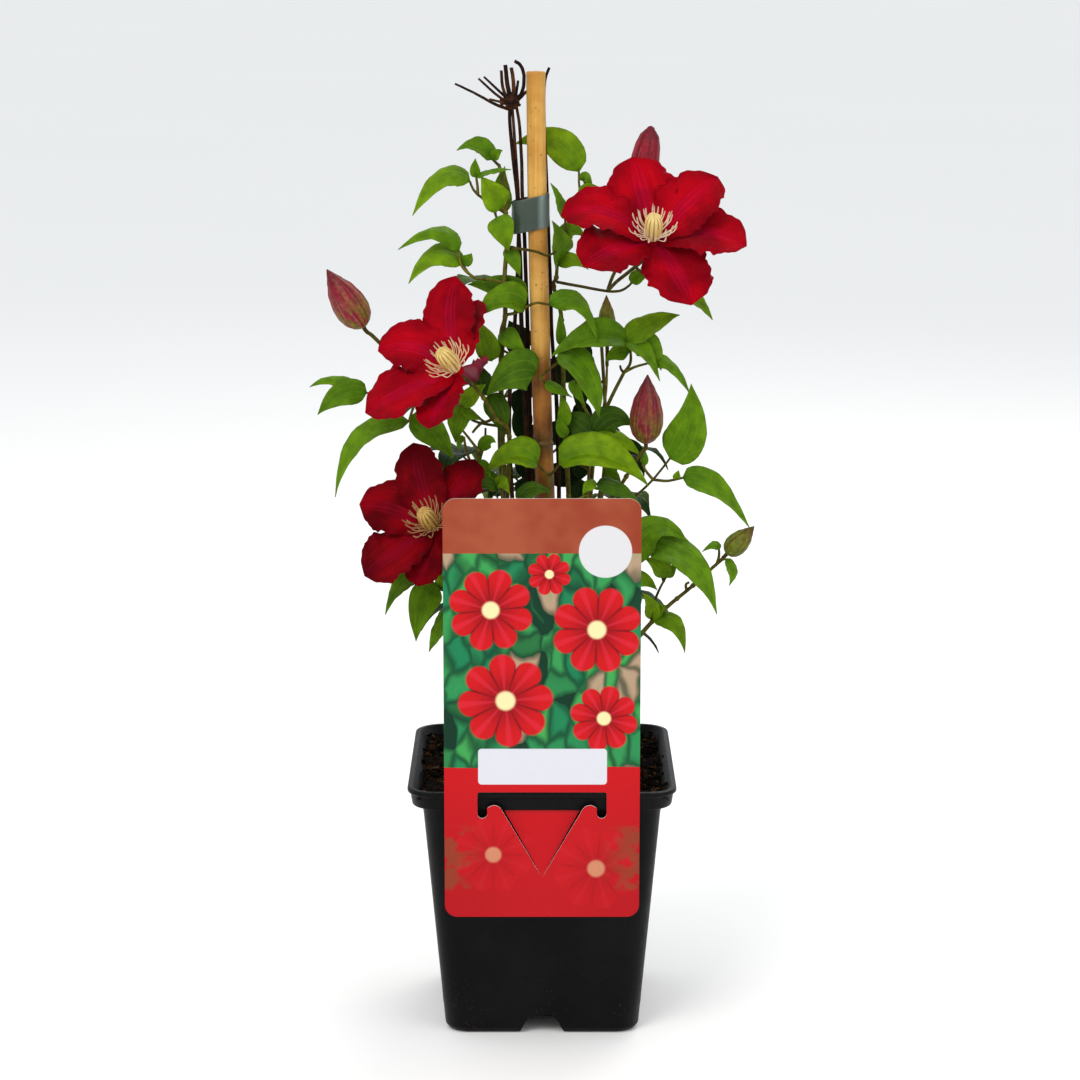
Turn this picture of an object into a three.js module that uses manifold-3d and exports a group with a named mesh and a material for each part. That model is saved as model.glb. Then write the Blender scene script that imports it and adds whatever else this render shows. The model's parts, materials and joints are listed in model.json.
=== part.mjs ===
// A potted large-flowered red clematis on a bamboo cane, with its tie and its care label.
// Millimetres, +Z up. The origin is the middle of the pot's underside and -Y is the front.

import * as THREE from 'three';
import { mergeVertices } from 'three/addons/utils/BufferGeometryUtils.js';
import Module from 'manifold-3d';

const wasm = await Module();
wasm.setup();

// Driving dimensions

const GAP = 0.3;

const POT = {
  height: 147,
  rimSide: 150,
  rimDrop: 3,
  collarTopSide: 147,
  collarFootSide: 145,
  collarFoot: 136.5,
  neckSide: 133.6,
  baseSide: 109.6,
  corner: 12,
  chamferRise: 3,
  chamferIn: 9,
  wall: 2,
  floor: 3,
  mouthSide: 143.8,
  trench: { half: 52, top: 142.5, wallFoot: 66.9, wallTop: 70.7, skirtFoot: 71.3, skirtTop: 72.2 },
  channel: { high: 10.5, topHalf: 8, footHalf: 13, inner: 20, drain: 4 },
};

const SOIL = { top: 141, relief: 2.2, cells: 7, footDepth: 26 };

const CANE = {
  radius: 5.35,
  sides: 10,
  nodeHeight: 331,
  pith: { radius: 2, deep: 2.5 },
  axis: [[9.5, 17], [8, 110], [5, 210], [1.8, 305], [0.2, 350], [-1.4, 410], [-2.7, 470], [-3.4, 538]],
};

const TIE = { thick: 0.9, tall: 18.5, middle: [-2.5, 0, 460.5], stems: [-10.3, 1.4], stemsRadius: 5.7, tilt: 12.5 };

const TAG = {
  width: 108,
  foot: 76,
  top: 313,
  thick: 0.8,
  corner: 7,
  slot: { half: 35.7, low: 138.6, high: 147.9, legFoot: 132.9, legWidth: 5.4 },
  tongue: { shoulder: 22.6, apex: 98.8, bend: 134, top: 140.5, back: 70.1, cut: 0.5 },
  hump: 3.6,
};

const LEAF = { thick: 0.8, rows: 5, shoulder: 0.5, taper: 1.1, crowd: 1.2, wave: 0.05 };
const leafForm = (width) => ({ ...LEAF, rows: 2 + (width > 7.2) + (width > 12.5) });
const TEPAL = { thick: 0.8, rows: 5, shoulder: 0.6, taper: 0.52, crowd: 0.85, wave: 0.05, claw: 2.6 };
const STALK = { stem: 1.5, stemTip: 0.9, twig: 0.75, twigTip: 0.6, bloom: 1.1, intoBlade: 3 };
const DISC = { radius: 3.8, foot: 1.4, top: 1.9 };
const HEAD = { height: 20, column: 4.8, spread: 13, stamens: 18, thread: 0.55, seat: 2.2 };

// The eye point of the photograph. Places on the plant are listed as they look on the plane y = 0,
// with their own depth y, and are carried along the line of sight to that depth.
const EYE = { distance: 1727, height: 629 };

function seen([x, y, z]) {
  const scale = 1 + y / EYE.distance;
  return new THREE.Vector3(x * scale, y, EYE.height + (z - EYE.height) * scale);
}

const vector = (list) => new THREE.Vector3(...list);

// Solids

function closedGeometry(points, faces) {
  const geometry = new THREE.BufferGeometry();
  geometry.setAttribute('position', new THREE.Float32BufferAttribute(points.flatMap((p) => [p.x, p.y, p.z]), 3));
  geometry.setIndex(faces.flat());
  return geometry;
}

function solidFrom(source) {
  const geometry = source.clone();
  geometry.deleteAttribute('normal');
  geometry.deleteAttribute('uv');
  const merged = mergeVertices(geometry, 1e-4);
  return new wasm.Manifold(new wasm.Mesh({
    numProp: 3,
    vertProperties: new Float32Array(merged.attributes.position.array),
    triVerts: new Uint32Array(merged.index.array),
  }));
}

function geometryFrom(solid) {
  const mesh = solid.getMesh();
  const geometry = new THREE.BufferGeometry();
  geometry.setAttribute('position', new THREE.BufferAttribute(new Float32Array(mesh.vertProperties), 3));
  geometry.setIndex(new THREE.BufferAttribute(new Uint32Array(mesh.triVerts), 1));
  geometry.computeVertexNormals();
  return geometry;
}

const fuse = (solids) => solids.reduce((whole, piece) => whole.add(piece));

function finish(color, roughness, metalness = 0) {
  return new THREE.MeshStandardMaterial({ color, roughness, metalness, flatShading: true });
}

function named(name, solid, material) {
  const mesh = new THREE.Mesh(geometryFrom(solid), material);
  mesh.name = name;
  return mesh;
}

// A stack of rings with the same number of points, closed at both ends.
function loftSolid(rings) {
  const sides = rings[0].length;
  const faces = [];
  for (let row = 0; row + 1 < rings.length; row += 1) {
    for (let side = 0; side < sides; side += 1) {
      const a = row * sides + side;
      const b = row * sides + (side + 1) % sides;
      faces.push([a, b, b + sides], [a, b + sides, a + sides]);
    }
  }
  const last = (rings.length - 1) * sides;
  for (let side = 1; side + 1 < sides; side += 1) {
    faces.push([0, side + 1, side], [last, last + side, last + side + 1]);
  }
  return solidFrom(closedGeometry(rings.flat(), faces));
}

// Frames carried along a line of points without twisting.
function railFrames(points) {
  const frames = [];
  let across = null;
  points.forEach((point, i) => {
    const before = points[Math.max(i - 1, 0)];
    const after = points[Math.min(i + 1, points.length - 1)];
    const along = after.clone().sub(before).normalize();
    if (!across) {
      across = Math.abs(along.z) < 0.9 ? new THREE.Vector3(0, 0, 1) : new THREE.Vector3(1, 0, 0);
    }
    across = across.clone().addScaledVector(along, -across.dot(along)).normalize();
    frames.push({ point, across, up: along.clone().cross(across) });
  });
  return frames;
}

function limb(points, thick, thin, sides) {
  const rings = railFrames(points).map(({ point, across, up }, i) => {
    const radius = thick + (thin - thick) * i / (points.length - 1);
    return Array.from({ length: sides }, (_, side) => {
      const angle = 2 * Math.PI * side / sides;
      return point.clone().addScaledVector(across, radius * Math.cos(angle))
        .addScaledVector(up, radius * Math.sin(angle));
    });
  });
  return loftSolid(rings);
}

// Leaf and tepal blades

function ribPoint({ base, mid, tip }, t) {
  return base.clone().multiplyScalar((1 - t) * (1 - 2 * t))
    .addScaledVector(mid, 4 * t * (1 - t)).addScaledVector(tip, t * (2 * t - 1));
}

function ribAlong({ base, mid, tip }, t) {
  return base.clone().multiplyScalar(4 * t - 3)
    .addScaledVector(mid, 4 - 8 * t).addScaledVector(tip, 4 * t - 1).normalize();
}

function outline(form, t) {
  const peak = form.shoulder / (form.shoulder + form.taper);
  return (t / peak) ** form.shoulder * ((1 - t) / (1 - peak)) ** form.taper;
}

// A curved blade on a rib through base, mid and tip. Its upper face looks along `face`, its halves
// rise from the rib by `fold` degrees, and its edges wave. It starts and ends in a point.
function blade(rib, width, face, fold, form, columns, neck) {
  const rise = THREE.MathUtils.degToRad(fold);
  const phase = rib.tip.x + rib.tip.z;
  const upper = [];
  const lower = [];
  for (let row = 0; row <= form.rows; row += 1) {
    const t = (row / form.rows) ** form.crowd;
    const along = ribAlong(rib, t);
    const normal = face.clone().addScaledVector(along, -face.dot(along)).normalize();
    const side = along.clone().cross(normal);
    const half = Math.max(width / 2 * outline(form, t), (1 - t) * neck);
    const centre = ribPoint(rib, t);
    const reach = row === 0 || row === form.rows ? 0 : columns;
    const line = [];
    for (let column = -reach; column <= reach; column += 1) {
      const u = column / columns;
      const wave = form.wave * width * Math.sin(9 * t + phase + 2 * u) * u * u * Math.sin(Math.PI * t);
      const lift = Math.abs(u) * half * Math.sin(rise) + wave + form.thick / 2;
      line.push(centre.clone().addScaledVector(side, u * half * Math.cos(rise)).addScaledVector(normal, lift));
    }
    upper.push(line);
    lower.push(line.map((point) => point.clone().addScaledVector(normal, -form.thick)));
  }
  return sheetSolid(upper, lower);
}

// A thin sheet between two matching stacks of rows. A row may be one point. Both faces are split
// along the same diagonals, so a waved sheet never crosses itself.
function sheetSolid(upper, lower) {
  const first = [];
  let count = 0;
  upper.forEach((line) => {
    first.push(count);
    count += line.length;
  });
  const faces = [];
  const add = (i, j, k) => faces.push([i, j, k], [i + count, k + count, j + count]);
  for (let row = 0; row + 1 < upper.length; row += 1) {
    const [near, far] = [upper[row].length - 1, upper[row + 1].length - 1];
    const [a, d] = [first[row], first[row + 1]];
    for (let cell = 0; cell < Math.max(near, far); cell += 1) {
      const [b, c, e] = [a + cell, d + cell, 1];
      if (near === 0) {
        add(a, c + e, c);
      } else if (far === 0) {
        add(b, b + e, d);
      } else if (cell < near / 2) {
        add(b, c + e, c);
        add(b, b + e, c + e);
      } else {
        add(b, b + e, c);
        add(b + e, c + e, c);
      }
    }
  }
  const last = upper.length - 1;
  const rim = upper[0].map((_, i) => first[0] + i);
  for (let row = 1; row < last; row += 1) rim.push(first[row] + upper[row].length - 1);
  for (let i = upper[last].length - 1; i >= 0; i -= 1) rim.push(first[last] + i);
  for (let row = last - 1; row > 0; row -= 1) rim.push(first[row]);
  rim.forEach((a, i) => {
    const b = rim[(i + 1) % rim.length];
    faces.push([a, a + count, b + count], [a, b + count, b]);
  });
  return solidFrom(closedGeometry([...upper.flat(), ...lower.flat()], faces));
}

// The pot

function squareRing(side, corner, z) {
  const flat = side / 2 - corner;
  const middles = [[1, 1], [-1, 1], [-1, -1], [1, -1]];
  return middles.flatMap(([sx, sy], quarter) => [0, 1, 2, 3].map((step) => {
    const angle = Math.PI / 2 * (quarter + step / 3);
    return new THREE.Vector3(sx * flat + corner * Math.cos(angle), sy * flat + corner * Math.sin(angle), z);
  }));
}

const wallSide = (z) => POT.baseSide + (POT.neckSide - POT.baseSide) * Math.min(z, POT.collarFoot) / POT.collarFoot;

// A straight channel under the pot from the middle of one side towards its centre.
function channelSolid(turn, growth) {
  const { high, topHalf, footHalf, inner } = POT.channel;
  const shape = new THREE.Shape([
    new THREE.Vector2(-footHalf - growth, -1),
    new THREE.Vector2(footHalf + growth, -1),
    new THREE.Vector2(topHalf + growth, high + growth),
    new THREE.Vector2(-topHalf - growth, high + growth),
  ]);
  const geometry = new THREE.ExtrudeGeometry(shape, { depth: POT.baseSide, bevelEnabled: false });
  geometry.rotateX(Math.PI / 2);
  geometry.translate(0, -inner + growth, 0);
  geometry.rotateZ(turn);
  return solidFrom(geometry);
}

const quarterTurns = [0, 1, 2, 3].map((quarter) => quarter * Math.PI / 2);

function potCavity(inset, floor, top) {
  const ring = (z) => squareRing(wallSide(z) - 2 * (POT.wall + inset), POT.corner - POT.wall, z);
  const space = loftSolid([ring(floor + inset), ring(top)]);
  return quarterTurns.reduce((left, turn) => left.subtract(channelSolid(turn, POT.wall + inset)), space);
}

// The mouth of the pot widens inside the collar.
function mouthSolid(inset) {
  const neck = (z) => squareRing(POT.neckSide - 2 * (POT.wall + inset), POT.corner - POT.wall, z);
  return loftSolid([
    neck(POT.collarFoot - 1), neck(POT.collarFoot),
    squareRing(POT.mouthSide + 0.6 - 2 * inset, POT.corner, POT.height + 0.5),
  ]);
}

// The collar hangs free of the wall along each side, as a skirt, and is closed at the corners.
function trenchSolid(turn) {
  const { half, top, wallFoot, wallTop, skirtFoot, skirtTop } = POT.trench;
  const row = (z, near, far) => [
    new THREE.Vector3(-half, -far, z), new THREE.Vector3(half, -far, z),
    new THREE.Vector3(half, -near, z), new THREE.Vector3(-half, -near, z),
  ].map((point) => point.applyAxisAngle(new THREE.Vector3(0, 0, 1), turn));
  return loftSolid([
    row(POT.collarFoot - 2.5, wallFoot, skirtFoot), row(POT.collarFoot, wallFoot, skirtFoot),
    row(top, wallTop, skirtTop),
  ]);
}

function makePot() {
  const collarCorner = POT.corner + 3;
  let pot = loftSolid([
    squareRing(POT.baseSide - POT.chamferIn / 3, POT.corner, 0),
    squareRing(wallSide(POT.chamferRise), POT.corner, POT.chamferRise),
    squareRing(POT.neckSide, POT.corner, POT.collarFoot - 1.5),
    squareRing(POT.collarFootSide - 2, collarCorner, POT.collarFoot),
    squareRing(POT.collarFootSide, collarCorner, POT.collarFoot + 0.8),
    squareRing(POT.collarTopSide, collarCorner, POT.height - POT.rimDrop),
    squareRing(POT.rimSide, collarCorner + 1, POT.height - POT.rimDrop + 0.5),
    squareRing(POT.rimSide, collarCorner + 1, POT.height - 0.7),
    squareRing(POT.rimSide - 1.2, collarCorner + 1, POT.height),
  ]);
  pot = pot.subtract(potCavity(0, POT.floor, POT.collarFoot)).subtract(mouthSolid(0));
  quarterTurns.forEach((turn) => {
    pot = pot.subtract(channelSolid(turn, 0)).subtract(trenchSolid(turn));
    const drain = new THREE.CylinderGeometry(POT.channel.drain, POT.channel.drain, 8, 6);
    drain.rotateX(Math.PI / 2);
    drain.translate(0, -POT.channel.inner - 12, POT.channel.high + 2);
    drain.rotateZ(turn);
    pot = pot.subtract(solidFrom(drain));
  });
  return pot;
}

// The cane

const caneCurve = new THREE.CatmullRomCurve3(CANE.axis.map(([x, z]) => new THREE.Vector3(x, 0, z)));

function caneRings(growth) {
  const heights = [17, 140, 250, CANE.nodeHeight - 4, CANE.nodeHeight - 1.2, CANE.nodeHeight + 1.2,
    CANE.nodeHeight + 4, 400, 470, 538];
  const axisAt = (z) => {
    let [low, high] = [0, 1];
    for (let step = 0; step < 30; step += 1) {
      const middle = (low + high) / 2;
      if (caneCurve.getPoint(middle).z < z) low = middle;
      else high = middle;
    }
    return caneCurve.getPoint(low).x;
  };
  return heights.map((z) => {
    const swell = Math.abs(z - CANE.nodeHeight) < 2 ? 0.55 : 0;
    const radius = CANE.radius + swell + growth;
    return Array.from({ length: CANE.sides }, (_, side) => {
      const angle = 2 * Math.PI * side / CANE.sides;
      return new THREE.Vector3(axisAt(z) + radius * Math.cos(angle), radius * Math.sin(angle), z);
    });
  });
}

function makeCane() {
  const pith = new THREE.CylinderGeometry(CANE.pith.radius, CANE.pith.radius, 2 * CANE.pith.deep, 8);
  pith.rotateX(Math.PI / 2);
  pith.translate(CANE.axis.at(-1)[0], 0, CANE.axis.at(-1)[1]);
  return loftSolid(caneRings(0)).subtract(solidFrom(pith));
}

// The tie: a strap bent round the cane and the stems beside it

function tieOutline(grow) {
  const points = [];
  const cane = { x: TIE.middle[0], y: 0, r: CANE.radius + 0.5 + grow };
  const stems = { x: TIE.stems[0], y: TIE.stems[1], r: TIE.stemsRadius + grow };
  for (let step = 0; step <= 7; step += 1) {
    const angle = THREE.MathUtils.degToRad(-90 + 180 * step / 7);
    points.push(new THREE.Vector2(cane.x + cane.r * Math.cos(angle), cane.y + cane.r * Math.sin(angle)));
  }
  for (let step = 0; step <= 7; step += 1) {
    const angle = THREE.MathUtils.degToRad(90 + 180 * step / 7);
    points.push(new THREE.Vector2(stems.x + stems.r * Math.cos(angle), stems.y + stems.r * Math.sin(angle)));
  }
  return points;
}

function makeTie() {
  const strap = new THREE.Shape(tieOutline(TIE.thick));
  strap.holes.push(new THREE.Path(tieOutline(0)));
  const geometry = new THREE.ExtrudeGeometry(strap, { depth: TIE.tall, bevelEnabled: false });
  geometry.translate(-TIE.middle[0], 0, -TIE.tall / 2);
  const place = geometry.attributes.position;
  const slope = Math.tan(THREE.MathUtils.degToRad(TIE.tilt));
  for (let i = 0; i < place.count; i += 1) {
    place.setZ(i, place.getZ(i) + place.getX(i) * slope);
  }
  geometry.translate(...TIE.middle);
  return solidFrom(geometry);
}

// Last year's dark stems, with their crown in the compost and the brush of cut twigs at the top

const CROWN = { x: -7, y: 6, top: 145, foot: 94, radius: 7 };

const OLD_STEMS = [
  { thick: 1.6, thin: 0.9, path: [[-9, 4, 131], [-7, 5, 200], [-8, 4, 260], [-8.5, 3, 330], [-10, 2.5, 370],
    [-11.4, 2, 400], [-12, 1.5, 430], [-12.8, 1, 448], [-13.8, 0.6, 470], [-16, 0, 490], [-17.9, 0, 510],
    [-17.6, 0, 521]] },
  { thick: 1.4, thin: 0.8, path: [[-4, 9, 130], [-6, 10, 260], [-7, 9.4, 350], [-8.2, 7.6, 400],
    [-9.4, 5, 440], [-10.8, 3.2, 470], [-11.4, 2.5, 490], [-12.5, 1.5, 508], [-14.5, 0, 521]] },
  { thick: 1.4, thin: 0.8, path: [[-7, 8, 131], [-11, 9, 200], [-17, 8, 300], [-18.4, 7, 350], [-15, 6, 400],
    [-13.2, 4.6, 440], [-13.2, 3, 470], [-15.2, 1.5, 500], [-16.6, 0.4, 521]] },
  { thick: 1.4, thin: 0.75, path: [[-5, 8, 128], [-3.6, 9, 140], [6, 13, 200], [9.5, 10, 290], [8.6, 7, 340], [7.6, 6.6, 365],
    [5.5, 6.6, 395], [4.8, 6.6, 420], [3.7, 6.8, 450], [2.5, 7, 480], [1.2, 7, 515], [1.5, 6.6, 532],
    [4, 5.6, 540]] },
];

const BRUSH = [
  { thick: 1, thin: 0.6, path: [[-17.5, 0, 517], [-25, -1, 519.6], [-36, -2, 525.5], [-48, -3, 531.2]] },
  { thick: 0.9, thin: 0.6, path: [[-18, 0, 520], [-26, -3, 526], [-35, -6, 534]] },
  { thick: 0.9, thin: 0.6, path: [[-18, 0, 522], [-25, 3, 528.5], [-32, 5, 535]] },
  { thick: 0.8, thin: 0.6, path: [[-18, 0, 520.5], [-23.5, -4, 521.5], [-29, -7, 522.7]] },
  { thick: 1, thin: 0.8, path: [[-18, 0, 520], [-21.5, -1, 529], [-22.5, -1, 538.5]] },
  { thick: 1.4, thin: 1.1, path: [[-17, 0, 520], [-19, 1, 531], [-20.3, 1, 541.5]] },
  { thick: 1.2, thin: 1, path: [[-16, 0, 520], [-15.6, -2, 531], [-17, -3, 540]] },
  { thick: 0.9, thin: 0.7, path: [[-15, 0, 521], [-14, 2, 527], [-13.2, 3, 533]] },
  { thick: 1, thin: 0.8, path: [[-14.5, 0, 521], [-11, 4, 524.5], [-7, 7.6, 527], [1.2, 7.4, 522]] },
  { thick: 1, thin: 1, path: [[-14.5, 0, 521], [-10.6, 3, 528], [-9.9, 3.6, 536], [-12, 2, 541.4],
    [-15, 1, 543.6]] },
];

function makeOldStems() {
  const shape = [[CROWN.radius * 0.5, CROWN.foot], [CROWN.radius * 0.8, CROWN.foot + 21],
    [CROWN.radius, CROWN.top - 9], [4, CROWN.top]];
  const crown = loftSolid(shape.map(([radius, z]) => Array.from({ length: 9 }, (_, side) => {
    const angle = 2 * Math.PI * side / 9;
    return new THREE.Vector3(CROWN.x + radius * Math.cos(angle), CROWN.y + radius * Math.sin(angle), z);
  })));
  const stems = OLD_STEMS.map(({ thick, thin, path }) => limb(path.map(seen), thick, thin, 4));
  const twigs = BRUSH.map(({ thick, thin, path }) => limb(path.map(seen), thick, thin, 3));
  const hub = new THREE.IcosahedronGeometry(4.1, 0);
  hub.scale(1.05, 0.85, 1.1);
  hub.translate(-16.6, 0.1, 521.3);
  return fuse([crown, ...stems, ...twigs, solidFrom(hub)]);
}

// Blooms: six tepals on a small disc, and a head of stamens round a column of styles

const BLOOMS = {
  bloom_1: {
    centre: [61.5, -25, 444.5],
    axis: [0.02, -0.64, 0.77],
    tepals: [
      [[56, -14, 469], [50, -3, 491], 38],
      [[80, -20, 464.5], [97.5, -11, 480], 36],
      [[90, -27, 449], [114, -28, 441.5], 33],
      [[74, -37, 428], [83.5, -53, 408.5], 38],
      [[41.5, -36, 440], [23, -50, 430], 37],
      [[35, -27, 460.5], [10.5, -23, 458.5], 31],
    ],
  },
  bloom_2: {
    centre: [-47.5, -38, 371],
    axis: [-0.455, -0.585, 0.672],
    tepals: [
      [[-51, -22, 399], [-48, -15, 425], 34],
      [[-43, -25, 393], [-35.5, -10, 411.5], 24],
      [[-70, -25, 384], [-92, -22, 382.5], 33],
      [[-75, -44, 360.5], [-99.5, -44, 347.5], 36],
      [[-56, -53, 354], [-64, -66, 338.5], 27],
      [[-40, -18, 372], [-36, 2, 366], 22],
    ],
  },
  bloom_3: {
    centre: [-61, -50, 281],
    axis: [-0.3, -0.71, 0.64],
    tepals: [
      [[-68, -38, 307], [-72.5, -28, 330.5], 28],
      [[-83, -42, 291.5], [-103.5, -39, 295], 32],
      [[-83, -57, 267], [-101, -60, 253.5], 34],
      [[-66, -62, 263], [-70.5, -69, 247.5], 25],
      [[-49, -41, 301], [-38, -30, 321], 30],
      [[-39, -60, 277], [-18, -64, 272], 28],
    ],
  },
};

function bloomFrame({ centre, axis }) {
  const up = vector(axis).normalize();
  const side = new THREE.Vector3(0, 0, 1).cross(up).normalize();
  return { centre: seen(centre), up, side, front: up.clone().cross(side) };
}

function around(frame, radius, height, angle) {
  return frame.centre.clone().addScaledVector(frame.up, height)
    .addScaledVector(frame.side, radius * Math.cos(angle)).addScaledVector(frame.front, radius * Math.sin(angle));
}

function ringAround(frame, radius, height, sides) {
  return Array.from({ length: sides }, (_, i) => around(frame, radius, height, 2 * Math.PI * i / sides));
}

function makeTepals(bloom) {
  const frame = bloomFrame(bloom);
  const disc = loftSolid([[2.4, -DISC.foot], [DISC.radius, 0], [2.2, DISC.top]]
    .map(([radius, height]) => ringAround(frame, radius, height, 8)));
  const blades = bloom.tepals.map(([mid, tip, width]) => {
    const rib = { mid: seen(mid), tip: seen(tip) };
    const out = rib.mid.clone().sub(frame.centre);
    out.addScaledVector(frame.up, -out.dot(frame.up)).normalize();
    rib.base = frame.centre.clone().addScaledVector(out, 2);
    return blade(rib, width, frame.up, 8, TEPAL, 2, TEPAL.claw);
  });
  return fuse([disc, ...blades]);
}

function makeHead(bloom) {
  const frame = bloomFrame(bloom);
  const seat = DISC.top + GAP;
  const ridge = (radius, height, turn) => Array.from({ length: 12 }, (_, i) => (
    around(frame, radius * (i % 2 ? 0.82 : 1), height, 2 * Math.PI * (i + turn) / 12)));
  const column = loftSolid([
    ridge(HEAD.seat, seat, 0), ridge(HEAD.column, seat + 4, 0.5), ridge(HEAD.column, HEAD.height - 6, 1.5),
    ridge(HEAD.column * 0.85, HEAD.height - 1.8, 2), ridge(1.6, HEAD.height, 2),
  ]);
  const stamens = Array.from({ length: HEAD.stamens }, (_, i) => {
    const angle = 2 * Math.PI * (i + 0.35 * Math.sin(7 * i)) / HEAD.stamens;
    const spread = HEAD.spread + 1.6 * Math.sin(5 * i);
    const height = HEAD.height - 4.5 + 2 * Math.sin(3 * i);
    return limb([
      around(frame, 1.6, seat + 0.8, angle),
      around(frame, spread, height, angle + 0.08 * Math.sin(4 * i)),
    ], HEAD.thread * 1.1, HEAD.thread * 1.3, 3);
  });
  return fuse([column, ...stamens]);
}

// Buds: four folded tepals pressed into a pointed egg

const BUDS = {
  bud_1: { base: [-100, -20, 396.5], tip: [-120, -26, 428.5], radius: 9.6, lips: 0 },
  bud_2: { base: [55, 12, 478], tip: [60.5, 12, 508], radius: 8, lips: 1 },
  bud_3: { base: [58.6, -10, 330.5], tip: [59.3, -13, 369.2], radius: 9.4, lips: 0 },
  bud_4: { base: [36.5, 5, 389], tip: [36, 3, 414.2], radius: 5, lips: 0 },
  bud_5: { base: [105.2, -8, 266.5], tip: [120.4, -11, 282.4], radius: 6.4, lips: 0 },
};

// A bud's outline as shares of its length and of its radius: closed, and with its lips parting.
const BUD_PROFILE = [
  [0, 0.3], [0.05, 0.52], [0.2, 0.88], [0.42, 1], [0.64, 0.85], [0.8, 0.56], [0.92, 0.26], [1, 0.07],
];
const LIPS_PROFILE = [
  [0, 0.3], [0.06, 0.62], [0.2, 0.92], [0.4, 0.94], [0.62, 0.85], [0.83, 0.66], [0.95, 0.44], [1, 0.3],
];

function budFrame({ base, tip }) {
  const up = seen(tip).sub(seen(base));
  const length = up.length();
  up.normalize();
  const side = new THREE.Vector3(0, -1, 0).cross(up).normalize();
  return { centre: seen(base), up, side, front: up.clone().cross(side), length };
}

function makeBud(bud) {
  const { radius, lips } = bud;
  const frame = budFrame(bud);
  const profile = lips ? LIPS_PROFILE : BUD_PROFILE;
  return loftSolid(profile.map(([share, wide]) => Array.from({ length: 12 }, (_, i) => {
    const ridge = i % 3 === 0 ? 1.08 : 0.96;
    const notch = lips && share > 0.97 && i % 3 === 0 ? 0.96 : 1;
    return around(frame, radius * wide * ridge, frame.length * share * notch, 2 * Math.PI * i / 12);
  })));
}

// Leafy shoots. Faces name the way that a leaflet's upper side looks.

const FACES = {
  front: [0, -1, 0.25],
  up: [0, -0.65, 0.75],
  flat: [0, -0.3, 1],
  left: [-0.6, -0.7, 0.45],
  right: [0.6, -0.7, 0.45],
  backLeft: [-0.5, 0.7, 0.5],
  back: [0, 0.85, 0.5],
  backRight: [0.5, 0.7, 0.5],
};

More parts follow.
